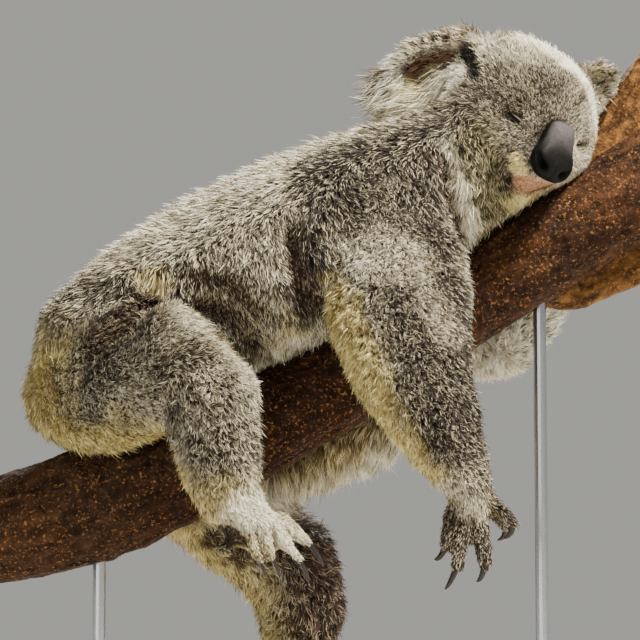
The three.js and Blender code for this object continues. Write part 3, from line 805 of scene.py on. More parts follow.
# Marks of the coat, each over those before it, with soft and ragged edges: shade, strength, and a rod's
# radius and places in millimetres.
# The ear's opening: bare of hair and painted black as painted shade.
EAR_OPENING_RADIUS = 8.5
EAR_OPENING = [(136, -34, 686), (142, -50, 673), (144, -60, 661)]
MARKS = [
    ("tan", 0.75, 75, (-120, 50, 330), (80, 60, 340)),
    ("white", 0.85, 34, (-100, 50, 270), (0, 55, 280), (90, 55, 330)),
    ("pale", 0.8, 36, (-90, -20, 385), (10, -30, 430)),
    ("dark", 1.0, 46, (100, -115, 530), (85, -115, 440), (115, -110, 340)),
    ("dark", 0.85, 38, (0, -95, 560), (60, -100, 540), (105, -95, 560)),
    # Painted shade: a dark band along the fold where the arm meets the flank.
    ("dark", 1.0, 22, (-13, -94, 515), (-16, -85, 462), (-4, -70, 440)),
    # Painted shade: a dark line along the fold low on the flank.
    ("dark", 0.9, 12, (-110, -94, 482), (-60, -90, 452)),
    ("dark", 0.2, 36, (-90, -110, 520), (-30, -110, 530)),
    ("dark", 0.95, 36, (10, -80, 590), (70, -82, 606), (100, -62, 628)),
    # Pale on the upper side of the back: partly pale fur and partly painted highlight.
    ("pale", 0.6, 32, (-170, -60, 500), (-50, -60, 570)),
    ("pale", 0.35, 36, (-100, -90, 505), (-50, -90, 520)),
    ("dark", 0.35, 34, (-190, -120, 390), (-120, -150, 380), (-100, -140, 330)),
    ("grey", 0.85, 26, (-112, -67, 455), (-88, -63, 446), (-45, -75, 430)),
    # Painted shade: a brown band along the crease above the thigh.
    ("brown", 0.8, 10, (-205, -93, 404), (-181, -96, 431), (-160, -80, 448)),
    # Painted shadow: a dark band along the shoulder's side of the white chest strip.
    ("dark", 0.9, 13, (94, -85, 600), (108, -88, 560), (122, -78, 522)),
    ("white", 1.0, 12.5, (112, -76, 604), (124, -74, 570), (135, -60, 535), (144, -38, 510)),
    ("olive", 1.0, 26, (142, -72, 600), (158, -52, 552)),
    ("cream", 0.85, 13, (176, -48, 548), (198, -30, 548)),
    ("cream", 1.0, 6.5, (178, -80, 584), (182, -76, 574)),
    ("brown", 1.0, 4.8, (171, -72, 582), (170, -60, 566)),
    ("black", 0.8, 4, (170, -62, 570), (170, -58, 564)),
    ("cream", 1.0, 29, (8, -96, 448), (28, -106, 404), (46, -110, 359)),
    ("cream", 1.0, 26, (46, -110, 359), (70, -104, 322), (96, -95, 286)),
    ("cream", 0.9, 62, (-270, -50, 385), (-250, -35, 320)),
    ("cream", 0.95, 28, (-220, -60, 325), (-150, -80, 320), (-128, -100, 300), (-112, -94, 262)),
    # Painted highlight: a pale patch on the top of the shoulder, where it faces the light.
    ("pale", 0.72, 28, (50, -103, 500), (76, -106, 486)),
    ("pale", 0.5, 18, (95, -118, 450), (110, -120, 420)),
    # Painted shade: the hollow above the thigh, below its light brown tuft, is painted dark brown.
    ("brown", 1.0, 14, (-155, -78, 452), (-134, -78, 453)),
    ("tan", 0.85, 15, (-160, -78, 474), (-142, -77, 470)),
    # Pale along the top of the back and neck: partly pale fur and partly painted highlight.
    ("pale", 0.75, 48, (-200, 0, 510), (0, 0, 605), (60, 0, 630)),
    # Pale along the thigh's top edge: partly pale fur and partly painted highlight.
    ("pale", 0.95, 26, (-120, -120, 445), (-80, -120, 425), (-58, -120, 390)),
    # Painted shadow of the near leg: dark brown down the middle of the far leg.
    ("brown", 0.95, 46, (-10, 60, 255), (14, 65, 190), (0, 65, 100)),
    ("cream", 1.0, 36, (-150, 50, 270), (-72, 62, 190), (-64, 70, 120)),
    ("pale", 0.95, 18, (112, -107, 277), (134, -108, 266)),
    ("cream", 0.6, 36, (-85, -115, 265), (-10, -105, 235)),
    ("white", 0.8, 26, (-60, -118, 264), (-10, -105, 232)),
    ("white", 0.9, 55, (150, 60, 420), (205, 60, 450)),
    # Pale on the far side of the muzzle: partly pale fur and partly painted highlight.
    ("pale", 0.8, 28, (232, -50, 570), (268, -30, 640)),
    ("pale", 0.5, 26, (130, -50, 700), (200, -60, 690)),
    ("white", 0.8, 15, (192, -45, 694), (222, -47, 677), (246, -34, 655), (254, -30, 632)),
    # Painted shadow: a brown band along the top edge of the nose, under the hair's edge.
    ("brown", 0.9, 7.5, (215, -85, 628), (236, -70, 622)),
    ("dark", 0.45, 22, (145, -78, 636), (172, -88, 640), (196, -88, 640)),
    # A black patch under the near foot: the dark bare sole, with painted shade in the hollow between heel and
    # toes.
    ("black", 0.9, 12.5, (-90, -100, 246), (-82, -116, 240), (-73, -112, 237)),
    ("brown", 0.9, 12, (-100, 57, 250), (-76, 60, 237)),
    ("pale", 0.8, 40, (120, -26, 684), (80, -22, 676)),
    ("white", 0.95, 15, *(1000 * from_ear("right", [(-0.5, -1.0, 0.3), (0.3, -1.0, 0.3), (0.9, -0.5, 0.3)]))),
    ("white", 1.0, 30, (124, -30, 672), (90, -26, 664), (56, -20, 655)),
    ("cream", 1.0, 20, (118, 2, 678), (112, 8, 662), (92, 8, 660)),
    # The rust band in the ear: partly the inner fur's own rust colour and partly painted shade under the
    # ear's upper rim.
    ("rust", 0.4, 12, (84, -12, 702), (104, -14, 708), (130, -18, 706)),
    ("rust", 1.0, 8.8, (85, -4, 684), (108, -4, 693), (131, -8, 692)),
    # Painted shade: the ear's opening is painted black.
    ("black", 1.0, EAR_OPENING_RADIUS, *EAR_OPENING),
    ("pale", 0.6, 30, *(1000 * from_ear("left", [(-0.5, 0.0, 0.0), (0.9, 0.0, 0.0)]))),
]
BARE_LIP = [(0.184, -0.064, 0.562), (0.206, -0.052, 0.560)]
BARE_LIP_RADIUS = 0.0125


def shades_at(points, normals, folded):
    """The hair's colours at each point, and the share of pale hairs: grey all over, in which each mark
    takes its place by its strength, which falls off across its edge; creamier where the coat faces down."""
    ragged = 0.22 * noise(points, 0.012, 23) + 0.10 * noise(points, 0.004, 24)
    weight = {name: np.zeros(len(points)) for name in SHADES}
    weight["grey"] += 1
    under = smooth_step(-0.45, -0.95, normals[:, 2] + 0.25 * noise(points, 0.03, 21))
    patches = noise(points, 0.040, 22) + 0.5 * noise(points, 0.014, 25)
    layers = [
        ("cream", 0.7 * under * (1 - smooth_step(0.1, 0.5, folded))),
        ("dark", 0.45 * smooth_step(0.1, 0.8, patches)),
        ("pale", 0.5 * smooth_step(0.15, 0.8, -patches)),
    ]
    for shade, strength, radius, *places in MARKS:
        far = along_rod(points, metres(*places), radius / 1000) + ragged
        soft = min(0.3, 0.25 * (radius - 5) / 30)
        layers.append((shade, strength * (1 - smooth_step(0.68 - soft, 1.08 + soft, far))))
    turned_back = smooth_step(-0.1, -0.5, normals @ ear_axes("right")[2])
    layers.append(("grey", 0.85 * ear_share(points)[0] * (points[:, 0] < BETWEEN_EARS) * turned_back))
    # Painted shade: the coat, and the skin under it, are painted brown in the folds pressed into the flesh.
    layers.append(("brown", 0.85 * smooth_step(0.25, 0.8, folded)))
    digit_far, digit_gap, digit_reached, _ = beside_digits(points)
    on_hand = np.max([near_node(points, f"{side}_hand", 0.01) for side in SIDES], axis=0)
    fingers = on_hand * smooth_step(0.004, 0.018, digit_reached) * (1 - smooth_step(1.6, 2.4, digit_far))
    layers.append(("dark", 0.62 * fingers))
    # Painted shade: brown in the clefts between neighbouring digits.
    cleft = np.exp(-((digit_gap / 0.42) ** 2)) * smooth_step(0.002, 0.010, digit_reached)
    layers.append(("brown", 0.8 * cleft * (1 - smooth_step(1.6, 2.4, digit_far))))
    lip = along_rod(points, BARE_LIP, BARE_LIP_RADIUS)
    layers.append(("lip", 1 - smooth_step(0.8, 1.15, lip)))
    for shade, amount in layers:
        for other in weight:
            weight[other] *= 1 - amount
        weight[shade] += amount
    tones = [sum(weight[name][:, None] * linear(*SHADES[name][k]) for name in SHADES) for k in range(5)]
    return tones, sum(weight[name] * SHADES[name][5] for name in SHADES)


down = (0.60, 0.58, 0.57)
skin, _ = fine_noise("skin", 0.75, 0.25, 420, 4.0, down, (0.35, 0.62), bump=(0.0012, 0.7), rough=0.65)
skin_tones, _ = shades_at(skin_points, skin_normals, folded)
skin_piece = new_piece("skin", skin_points, skin_quads, [skin])
colour_points(skin_piece, 0.4 * skin_tones[0] + 0.6 * skin_tones[1])
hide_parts(*FLESH, "ear_right", "ear_left")


# ---- Eyes ----
# Closed in sleep: the bare, grey-brown margins of the upper and the lower lid, one smooth swelling
# that stands just proud of the skin, and the dark line in which they meet.
EYE_DEEP, EYE_TALL, EYE_LONGER = 0.0060, 0.0032, 1.12
EYE_PROUD, SLIT_DEPTH = 0.0036, 0.0009
LID_PALER = {"right": 1.0, "left": 2.2}
lids, _ = fine_noise("eyelid", 0.6, 0.15, 900, 3.0, (0.72, 0.70, 0.70), bump=(0.0004,))


def eye_axes(side):
    """Out of the eye, from its inner to its outer corner, and up; and the middle and half the length."""
    outer, inner = (np.array(corner) for corner in EYE_CORNERS[side])
    along = unit(outer - inner)
    middle = (outer + inner) / 2
    out = unit(middle - along * (middle @ along))
    above = np.cross(out, along)
    above *= np.sign(above[2])
    return np.stack((out, along, above)), middle, np.linalg.norm(outer - inner) / 2


for side in SIDES:
    axes, middle, half_long = eye_axes(side)
    # The lids stand just proud of the skin, whose level between the corners is taken from its own points.
    lift, aside, upward = ((to_head(skin_points) - middle) @ axes.T).T
    under_lids = (np.hypot(aside / (0.7 * half_long), upward / 0.003) < 1) & (np.abs(lift) < 0.015)
    level = lift[under_lids].mean()
    ball, faces = ball_grid(96, 72)
    x, y, z = ball[:, 2], ball[:, 0], ball[:, 1]
    # The line between the lids sags a little; the surface is let in along it.
    line = -0.16 * (1 - y**2)
    slit = np.exp(-(((z - line) / 0.36) ** 2)) * (x > 0) * np.clip(1 - y**2, 0, 1) ** 0.3
    rim = (np.exp(-(((z - line + 0.1) / 0.6) ** 2)) * (x > 0))[:, None]
    local = np.stack((x * EYE_DEEP - SLIT_DEPTH * slit, y * half_long * EYE_LONGER, z * EYE_TALL), axis=1)
    eye_points = from_head(local @ axes + middle + axes[0] * (level + EYE_PROUD - EYE_DEEP))
    if np.linalg.det(axes) < 0:
        faces = faces[:, ::-1]
    eye_piece = new_piece(f"closed_eye_{side}", eye_points, faces, [lids])
    lid_tone = (linear(0.27, 0.235, 0.18) * (1 - rim) + linear(0.36, 0.31, 0.24) * rim) * LID_PALER[side]
    in_slit = smooth_step(0.12, 0.38, slit)[:, None]
    colour_points(eye_piece, lid_tone + (linear(0.04, 0.03, 0.025) - lid_tone) * in_slit)
    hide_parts(f"eye_{side}")


# ---- Nose ----
# A broad pad of bare, finely pebbled black leather, an egg with its wide end down, with a painted grey
# sheen on its top and painted shade on its lower part and round its rim. Two comma-shaped nostrils open
# at its lower sides, and a shallow furrow parts them.
NOSE_MIDDLE = (0.0800, 0.0045, -0.0195)
NOSE_HALF = (0.0135, 0.0205, 0.0285)
NOSE_LEAN, NOSE_ROLL = math.radians(16), math.radians(2)
NOSE_FORMS = {
    "top": ((0.75, 0.0, 0.65), 0.0010, 0.5),
    "right_lobe": ((0.62, -0.66, -0.44), 0.0042, 0.40),
    "left_lobe": ((0.62, 0.66, -0.44), 0.0014, 0.40),
    "tip": ((0.80, 0.0, -0.55), 0.0016, 0.3),
}
for side, sign in (("right", -1), ("left", 1)):
    NOSE_FORMS[f"{side}_nostril"] = ((0.60, sign * 0.50, -0.70), -0.0070, 0.16)
    NOSE_FORMS[f"{side}_curl"] = ((0.56, sign * 0.62, -0.62), -0.0045, 0.14)
    NOSE_FORMS[f"{side}_comma"] = ((0.50, sign * 0.76, -0.48), -0.0035, 0.13)
leather, nodes, link, shader = material_of("nose_leather", 0.60, 0.12)
pebbles = pattern(nodes, link, "ShaderNodeTexVoronoi", 800, Randomness=0.9).outputs["Distance"]
pebble_tone = ramp(nodes, link, pebbles, (0.1, (1.0, 1.0, 1.0)), (0.8, (0.62, 0.60, 0.60)))
link(toned(nodes, link, pebble_tone), shader.inputs["Base Color"])
bumped(nodes, link, shader, ramp(nodes, link, pebbles, (0.2, (1, 1, 1)), (0.9, (0, 0, 0))), 0.0007)
ball, nose_faces = ball_grid(128, 96)
x, y, z = ball.T
reach = np.zeros(len(ball))
shadow = np.zeros(len(ball))
for towards, by, spread in NOSE_FORMS.values():
    angle = np.arccos(np.clip(ball @ unit(np.array(towards)), -1, 1))
    reach += by * np.exp(-((angle / spread) ** 2))
    shadow = np.maximum(shadow, (by < 0) * np.exp(-((angle / (1.7 * spread)) ** 2)))
furrow = np.exp(-((y / 0.07) ** 2)) * smooth_step(-0.35, -0.75, z) * (x > 0)
reach = reach - 0.0007 * furrow
squared = np.hypot(y, z) / np.maximum((np.abs(y) ** 3 + np.abs(z) ** 3) ** (1 / 3), 1e-6)
squared = 1 + 0.8 * (squared - 1)
waist = 1.08 - 0.29 * smooth_step(-0.45, 0.30, z) + 0.13 * smooth_step(0.4, 0.95, z)
shaped = np.stack((x, y * squared * waist, z * squared), axis=1) * NOSE_HALF + ball * reach[:, None]
cos_lean, sin_lean = math.cos(NOSE_LEAN), math.sin(NOSE_LEAN)
cos_roll, sin_roll = math.cos(NOSE_ROLL), math.sin(NOSE_ROLL)
tilted = np.array(((cos_lean, 0, -sin_lean), (0, 1, 0), (sin_lean, 0, cos_lean)))
rolled = np.array(((1, 0, 0), (0, cos_roll, sin_roll), (0, -sin_roll, cos_roll)))
lean = rolled @ tilted
nose_points = from_head(shaped @ lean.T + NOSE_MIDDLE)
nose_piece = new_piece("nose_pad", nose_points, nose_faces, [leather])
# Painted light: the top front of the pad is painted pale grey as a painted sheen, and its lower part and its
# rim near black as painted shade.
painted_sheen = (smooth_step(-0.25, 0.55, z) * smooth_step(0.15, 0.55, x))[:, None]
nose_tone = linear(0.055, 0.040, 0.034) * (1 - painted_sheen) + linear(0.44, 0.425, 0.415) * painted_sheen
nose_tone *= (1 - 0.95 * smooth_step(0.15, 0.75, shadow))[:, None]
nose_tone *= (1 + 0.30 * noise(nose_points, 0.0014, 71) + 0.15 * noise(nose_points, 0.004, 72))[:, None]
colour_points(nose_piece, nose_tone)
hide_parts("nose")


# ---- Claws ----
# Long, strongly curved, sharp claws of dark horn, flattened from side to side. Each is a tapered
# horn carried along an arc from inside the fingertip to its point.
CLAW_ROOT_HALF = {"hand": 0.0032, "foot": 0.0026}
CLAW_ARCH = {"hand": 0.0085, "foot": 0.0115}
CLAW_PALER = {"hand": 1.0, "foot": 1.3}
horn, _ = fine_noise("claw_horn", 0.34, 0.35, 650, 3.0, (0.70, 0.68, 0.66), bump=(0.0002,))


def horn_shape(root, control, tip, half, rings=18, around=14):
    """Rings about a curved line (1−t)²A + 2t(1−t)B + t²C, of half width (1−t²)^0.6, and its point."""
    t = np.linspace(0, 0.985, rings)[:, None]
    centre = (1 - t) ** 2 * root + 2 * t * (1 - t) * control + t**2 * tip
    along = unit(2 * (1 - t) * (control - root) + 2 * t * (tip - control))
    side = unit(np.cross(control - root, tip - control))
    above = unit(np.cross(along, side))
    turn = np.linspace(0, 2 * np.pi, around, endpoint=False)
    wide = half * (1 - t**2) ** 0.6
    ring = (
        centre[:, None]
        + np.cos(turn)[None, :, None] * side * 0.62 * wide[:, None]
        + np.sin(turn)[None, :, None] * above[:, None] * wide[:, None]
    )
    points = np.concatenate((ring.reshape(-1, 3), [root, tip]))
    return points, closed_rings(rings, around), np.append(np.repeat(t[:, 0], around), (0.0, 1.0))


def outward_faces(points, faces):
    """The faces, turned round if the closed shape's volume comes out negative."""
    a, b, c = (points[faces[:, k]] for k in range(3))
    return faces if (np.cross(a, b) * c).sum() > 0 else faces[:, ::-1]


for hand in HANDS:
    parts, faces, lengths, start = [], [], [], 0
    kind = hand.split("_")[1]
    for digit in DIGITS[hand]:
        _, knuckle, tip, claw_point = digit
        ahead = unit(tip - knuckle)
        root = knuckle + 0.75 * (tip - knuckle)
        arch = tip + ahead * CLAW_ARCH[kind] + 0.25 * (claw_point - tip)
        claw_points, claw_faces, t = horn_shape(root, arch, claw_point, CLAW_ROOT_HALF[kind])
        parts.append(claw_points)
        faces.append(outward_faces(claw_points, claw_faces) + start)
        lengths.append(t)
        start += len(claw_points)
    piece = new_piece(f"{hand}_claws", np.concatenate(parts), np.concatenate(faces), [horn])
    t = np.concatenate(lengths)[:, None]
    horn_tone = linear(0.085, 0.065, 0.052) * (1 - t) + linear(0.21, 0.165, 0.13) * t
    colour_points(piece, CLAW_PALER[kind] * horn_tone)
    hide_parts(*[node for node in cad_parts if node.startswith(hand + "_claw")])


# ---- Coat ----
# Short, dense, woolly fur, dark at its roots and ticked with white tips. It grows from the skin in
# small tufts of flat kite-shaped hairs that rise from the root and then lie along the body.
coat, shader = fine_noise("coat", 0.6, 0.2, 900, 2.0, (0.88, 0.88, 0.88))
shader.inputs["Sheen Weight"].default_value = 0.1
shader.inputs["Sheen Roughness"].default_value = 0.5

NOSE_AT = from_head(NOSE_MIDDLE)
EAR_SWEEP = np.array((-0.80, -0.25, -0.55))
random = np.random.default_rng(7)


def lie_of_coat(points, normals, share, heading):
    """The way the hair's tips point: to the rump along the back and down the flanks, along each limb and
    digit to its end, away from the nose on the head, and out to the rim on the ears; swirled by noise."""
    weight = {name: share[:, k] for k, name in enumerate(REGIONS)}
    on_body = weight["trunk"] + weight["neck"] + weight["belly"]
    back = smooth_step(0.15, 0.85, normals[:, 2])
    body = back[:, None] * np.array((-0.9, 0.0, -0.45)) + (1 - back)[:, None] * np.array((0.14, 0.0, -1.0))
    head = unit(points - NOSE_AT)
    limbs = 1 - on_body - weight["head"]
    way = on_body[:, None] * body + weight["head"][:, None] * head + limbs[:, None] * heading
    swirl = np.stack([noise(points, 0.035, 31 + k) for k in range(3)], axis=1)
    in_hand = np.max([near_node(points, node, 0.006) for node in HANDS], axis=0)
    way = unit(way) + (0.40 * (1 - 0.8 * in_hand))[:, None] * swirl
    digit_far, _, _, digit_way = beside_digits(points)
    here = (1 - smooth_step(1.2, 2.2, digit_far))[:, None]
    way = way * (1 - here) + digit_way * here
    ear, _ = ear_share(points)
    for side in SIDES:
        axes = ear_axes(side)
        local = (points - EARS[side]["middle"]) @ axes.T
        from_root = unit((local + np.array((EAR_HALF[side][0] * 0.9, 0, 0))) @ axes)
        parting = smooth_step(0.0, -0.5, local[:, 1] / EAR_HALF[side][1] + 0.35)
        from_root = from_root - 0.9 * parting[:, None] * axes[1]
        from_root = from_root + (2.2 * ear_sweep(points)[:, None] * EAR_SWEEP if side == "right" else 0)
        here = ear * (np.linalg.norm(local, axis=1) < 0.08)
        way = way * (1 - here)[:, None] + unit(from_root) * here[:, None]
    return way


def flat_on(vectors, normals):
    """Unit vectors with their part along the normal taken away."""
    return unit(vectors - normals * (vectors * normals).sum(axis=1, keepdims=True))


def bare_skin(points):
    """1 where no hair grows: against the branch, under the nose, between the lids and on the lip."""
    bare = inside_branch(points, 0.001).astype(float)
    in_nose = np.linalg.norm(((to_head(points) - NOSE_MIDDLE) @ lean) / np.array(NOSE_HALF), axis=1)
    bare = np.maximum(bare, 1 - smooth_step(0.92, 1.02, in_nose))
    for side in SIDES:
        axes, middle, half_long = eye_axes(side)
        x, y, z = ((to_head(points) - middle) @ axes.T).T
        lid = np.hypot(y / (half_long * 1.02), z / 0.0036) + (np.abs(x) > 0.015) * 9
        bare = np.maximum(bare, 1 - smooth_step(0.85, 1.05, lid))
    lip = along_rod(points, BARE_LIP, BARE_LIP_RADIUS)
    opening = along_rod(points, metres(*EAR_OPENING), EAR_OPENING_RADIUS / 1000)
    bare = np.maximum(bare, 0.9 * (1 - smooth_step(0.8, 1.0, opening)))
    return np.maximum(bare, 1 - smooth_step(0.85, 1.05, lip))


share, hair_length, standing, heading = coat_fields(skin_points, folded)
on_ear, _ = ear_share(skin_points)
lie = flat_on(lie_of_coat(skin_points, skin_normals, share, heading), skin_normals)
in_hand = np.max([near_node(skin_points, node, 0.003) for node in HANDS], axis=0)
on_face = (to_head(skin_points)[:, 0] > 0.028) & (share[:, REGIONS.index("head")] > 0.5)
region = share.argmax(axis=1)
# For each part of the coat: hairs for each square metre, their width, the width of their tufts, how far
# the tufts' directions stray in radians, and how much the tips of a tuft draw together.
GROWTH = {
    "trunk": (1.00e6, 0.00074, 0.0032, 0.30, 0.24),
    "belly": (0.70e6, 0.00082, 0.0060, 0.35, 0.45),
    "neck": (1.30e6, 0.00066, 0.0032, 0.40, 0.28),
    "head": (2.10e6, 0.00056, 0.0024, 0.50, 0.25),
    "right_arm": (1.70e6, 0.00070, 0.0022, 0.60, 0.24),
    "left_arm": (1.00e6, 0.00082, 0.0034, 0.60, 0.35),
    "right_leg": (1.60e6, 0.00070, 0.0022, 0.60, 0.24),
    "left_leg": (0.85e6, 0.00084, 0.0034, 0.60, 0.30),
    "ears": (2.20e6, 0.00060, 0.0034, 0.28, 0.45),
    "face": (4.20e6, 0.00044, 0.0017, 0.35, 0.12),
    "hands": (1.70e6, 0.00058, 0.0024, 0.22, 0.40),
}
# How much hairs differ in brightness: from tuft to tuft, from hair to hair and across patches.
TUFT_VARIES, HAIR_VARIES, PATCH_VARIES = 0.15, 0.12, 0.22
OF_GROWTH = list(GROWTH)
region[on_face] = OF_GROWTH.index("face")
region[in_hand > 0.6] = OF_GROWTH.index("hands")
region[on_ear > 0.5] = OF_GROWTH.index("ears")
bare = bare_skin(skin_points)
MOST_HAIRS = 80000
GUARD_HAIRS = 0.07
corners = np.concatenate((skin_quads[:, (0, 1, 2)], skin_quads[:, (0, 2, 3)]))
corner_points = skin_points[corners]
area = 0.5 * np.linalg.norm(
    np.cross(corner_points[:, 1] - corner_points[:, 0], corner_points[:, 2] - corner_points[:, 0]), axis=1
)
face_region = np.sort(region[corners], axis=1)[:, 1]
area = area * (1 - bare[corners].mean(axis=1))


# A hair's four corners on its own patch of the coat's map: root, both sides of its bend, and tip.
HAIR_PATCH = 0.003 * np.array(((0.0, 0.0), (-0.5, 0.5), (0.5, 0.5), (0.0, 1.0)))


def along_and_round(points, stations):
    """A line's own unwrap: how far along it each point lies, and the angle about it in turns."""
    _, reached, values, heading = along_axis(points, stations)
    offset = points - values[:, :3]
    side = unit(np.cross(heading, (0, 0, 1)))
    above = np.cross(side, heading)
    turn = np.arctan2((offset * side).sum(axis=1), (offset * above).sum(axis=1)) / (2 * np.pi)
    return np.stack((reached + (offset * heading).sum(axis=1), turn), axis=1)


def unwrapped(part, points, normals):
    """Where points lie on an unwrap of the skin, from 0 to 1: along and round the line of the trunk or a
    limb; round a globe for the head; the front and back of each ear, and each hand and foot, in columns."""
    if part in ("head", "face"):
        bearing = unit(to_head(points))
        turn = np.arctan2(bearing[:, 1], bearing[:, 0] * (1 if part == "face" else -1))
        place = np.stack((turn, np.arccos(bearing[:, 2])), axis=1)
        columns = np.zeros(len(points))
    elif part == "ears":
        ours = np.where(points[:, 0] < BETWEEN_EARS, 0, 1)
        local = np.stack([(points - EARS[side]["middle"]) @ ear_axes(side)[:2].T for side in SIDES])
        front = np.stack([normals @ ear_axes(side)[2] > 0 for side in SIDES])
        place = local[ours, np.arange(len(points))]
        columns = 2 * ours + front[ours, np.arange(len(points))]
    elif part == "hands":
        lines = ["right_arm", "left_arm", "right_leg", "left_leg"]
        reach = [along_axis(points, COAT_LINES[line][-2:])[0] for line in lines]
        columns = np.argmin(reach, axis=0)
        each = np.stack([along_and_round(points, COAT_LINES[line][-2:]) for line in lines])
        place = each[columns, np.arange(len(points))]
    else:
        place = along_and_round(points, COAT_LINES[part])
        columns = np.zeros(len(points))
    place = (place - place.min(axis=0)) / np.ptp(place, axis=0)
    many = columns.max() + 1
    place[:, 0] = (place[:, 0] * 0.97 + columns) / many
    return 0.005 + 0.987 * place


def grown(name, part, chosen, growth):
    """Hairs on the chosen faces: each is a kite of two triangles, widest where it bends. It rises from its
    root, bends at half its length and lies along the coat; the tips of a tuft draw together."""
    density, width, tuft, stray, drawn = growth
    weights = area[chosen]
    count = int(weights.sum() * density)
    picked = chosen[np.searchsorted(np.cumsum(weights) / weights.sum(), random.random(count))]
    u, v = random.random((2, count))
    flip = u + v > 1
    u[flip], v[flip] = 1 - u[flip], 1 - v[flip]
    spot = np.stack((1 - u - v, u, v), axis=1)

    def at(values):
        return (values[corners[picked]] * spot.reshape(count, 3, *[1] * (values.ndim - 1))).sum(axis=1)

    root, normal = at(skin_points), unit(at(skin_normals))
    wander = np.stack([noise(root, tuft * 1.7, 41 + k) for k in range(3)], axis=1)
    cell = np.floor((root + 0.4 * tuft * wander) / tuft).astype(np.int64)
    _, group = np.unique(cell @ np.array((1000003, 1009, 1)), return_inverse=True)
    members = np.bincount(group)[:, None]
    way = flat_on(at(lie), normal)
    turn = random.normal(0, stray, len(members))[group] + random.normal(0, 0.25, count)
    aside = np.cross(normal, way)
    way = way * np.cos(turn)[:, None] + aside * np.sin(turn)[:, None]
    aside = np.cross(normal, way)
    length = at(hair_length) * random.uniform(0.75, 1.2, count) * random.normal(1, 0.10, len(members))[group]
    wide = width * random.uniform(0.7, 1.3, count)[:, None]
    guard = random.random(count) < GUARD_HAIRS
    length = length * (1 + 0.40 * guard)
    roll = random.uniform(-0.9, 0.9, count)[:, None]
    broad = aside * np.cos(roll) + normal * np.sin(roll)
    lift = at(standing) * random.normal(1, 0.16, count) * (1 + 0.45 * guard)
    first, second = rise_angles(lift.clip(0.1, 0.95)[:, None])
    half = 0.5 * length[:, None]
    bend = root + half * (way * np.cos(first) + normal * np.sin(first))
    tip = bend + half * (way * np.cos(second) + normal * np.sin(second))
    pull = drawn * ((summed(group, tip, len(members)) / members)[group] - tip)
    tip = tip + pull
    bend = bend + 0.3 * pull
    kite = np.stack((root, bend - 0.5 * broad * wide, bend + 0.5 * broad * wide, tip), axis=1)
    base = 4 * np.arange(count)[:, None, None]
    faces = (base + np.array(((0, 1, 2), (2, 1, 3)))).reshape(-1, 3)
    tones, pale_share = shades_at(root, normal, at(folded))
    # The short hair of the hands and feet is evener than the rest.
    calm = 1 - 0.6 * (1 - smooth_step(1.6, 2.4, beside_digits(root)[0]))
    tuft_tone = calm * random.normal(0, TUFT_VARIES, len(members))[group]
    pale = random.random(count) < pale_share * (1 + 0.35 * noise(root, 0.02, 51)) + 0.8 * tuft_tone
    middle_tone = np.where(pale[:, None], tones[3], tones[1])
    end_tone = np.where(pale[:, None], tones[4], tones[2])
    mottled = PATCH_VARIES * calm * noise(root, 0.010, 52)
    shade = (1 + tuft_tone + mottled + random.normal(0, HAIR_VARIES, count)).clip(0.4, 1.6)[:, None]
    colours = np.stack((tones[0], middle_tone, middle_tone, end_tone), axis=1) * shade[:, None]
    piece = new_piece(name, kite.reshape(-1, 3), faces, [coat])
    colour_points(piece, colours.reshape(-1, 3).clip(0, 1))
    places = (unwrapped(part, root, normal)[:, None] + HAIR_PATCH).reshape(-1, 2)
    bake_map = piece.data.uv_layers.new(name="OFBake")
    bake_map.data.foreach_set("uv", places[faces.ravel()].astype(np.float32).ravel())


for number, name in enumerate(GROWTH):
    chosen = np.flatnonzero(face_region == number)
    hairs = area[chosen].sum() * GROWTH[name][0]
    parts = int(hairs // MOST_HAIRS) + 1
    order = chosen[np.argsort(skin_points[corners[chosen, 0], 0])]
    for part, some in enumerate(np.array_split(order, parts)):
        label = f"coat_{name}" if parts == 1 else f"coat_{name}_{part + 1}"
        grown(label, name, some, GROWTH[name])


# ---- Display stand ----
# A flat board of lacquered wood with rounded corners, and two polished steel rods that are let into
# it and into the underside of the branch.
wood, nodes, link, shader = material_of("base_wood", 0.38, 0.4)
board = pattern(nodes, link, "ShaderNodeTexNoise", 6, 8.0, Roughness=0.6)
mapping = nodes.new("ShaderNodeMapping")
mapping.inputs["Scale"].default_value = (1.0, 14.0, 14.0)
link(nodes.new("ShaderNodeTexCoord").outputs["Object"], mapping.inputs["Vector"])
link(mapping.outputs["Vector"], board.inputs["Vector"])
board_stops = ((0.3, (0.30, 0.20, 0.13)), (0.5, (0.42, 0.29, 0.19)), (0.7, (0.50, 0.36, 0.24)))
link(ramp(nodes, link, board.outputs["Fac"], *board_stops), shader.inputs["Base Color"])
bumped(nodes, link, shader, board.outputs["Fac"], 0.0002, 0.3)
steel, nodes, link, shader = material_of("rod_steel", 0.28)
shader.inputs["Metallic"].default_value = 1.0
brushed = pattern(nodes, link, "ShaderNodeTexNoise", 700, 2.0)
brushed_tone = ramp(nodes, link, brushed.outputs["Fac"], (0.3, (0.70, 0.71, 0.73)), (0.7, (0.80, 0.81, 0.83)))
link(brushed_tone, shader.inputs["Base Color"])
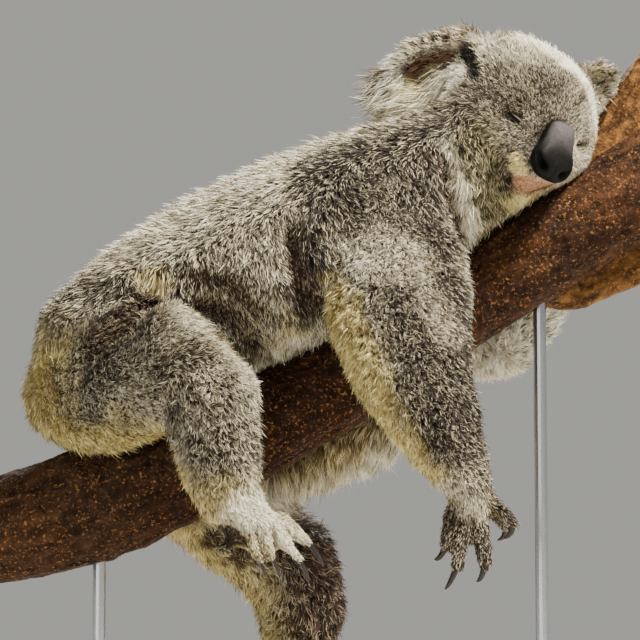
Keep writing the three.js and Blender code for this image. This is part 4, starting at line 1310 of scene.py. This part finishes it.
for node, material in (("stand_base", wood), ("stand_rod_low", steel), ("stand_rod_high", steel)):
    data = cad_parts[node].data
    data.materials.clear()
    data.materials.append(material)


# ---- Floor and light ----
# A plain pale floor. The key light stands high beyond the animal's head on the viewer's side, the rim
# light high behind its back, and a broad, faint fill low in front of its rump.
floor_tone, nodes, link, shader = material_of("floor", 0.9, 0.2)
cloud = pattern(nodes, link, "ShaderNodeTexNoise", 2.0, 2.0)
cloud_tone = ramp(nodes, link, cloud.outputs["Fac"], (0.3, (0.80, 0.80, 0.79)), (0.7, (0.83, 0.83, 0.82)))
link(cloud_tone, shader.inputs["Base Color"])
FLOOR_HALF = 6.0
floor_points = np.array([(x, y, 0.0) for x, y in ((-1, -1), (1, -1), (1, 1), (-1, 1))]) * FLOOR_HALF
floor_mesh = new_mesh("floor", floor_points, [(0, 1, 2, 3)])
floor_mesh.materials.append(floor_tone)
floor = bpy.data.objects.new("floor", floor_mesh)
bpy.context.scene.collection.objects.link(floor)


def soft_light(name, place, aim, size, power, colour):
    """A square area light of this size in metres, turned so that it shines from its place at its aim."""
    data = bpy.data.lights.new(name, "AREA")
    data.shape = "SQUARE"
    data.size = size
    data.energy = power
    data.color = colour
    light = bpy.data.objects.new(name, data)
    light.location = place
    toward = np.array(aim) - np.array(place)
    pitch = math.atan2(math.hypot(toward[0], toward[1]), -toward[2])
    light.rotation_euler = (pitch, 0.0, math.atan2(toward[1], toward[0]) - math.pi / 2)
    bpy.context.scene.collection.objects.link(light)


soft_light("key", (1.2, -0.9, 2.5), (0.0, 0.0, 0.45), 0.5, 290.0, (1.0, 0.96, 0.87))
soft_light("rim", (0.1, 1.9, 2.0), (0.0, 0.0, 0.50), 0.8, 150.0, (1.0, 0.97, 0.92))
soft_light("fill", (-1.6, -2.6, 1.0), (0.0, 0.0, 0.45), 2.2, 22.0, (1.0, 0.97, 0.91))
world = bpy.data.worlds.new("studio")
world.use_nodes = True
world.node_tree.nodes["Background"].inputs["Color"].default_value = (0.63, 0.625, 0.59, 1.0)
world.node_tree.nodes["Background"].inputs["Strength"].default_value = 0.62
bpy.context.scene.world = world
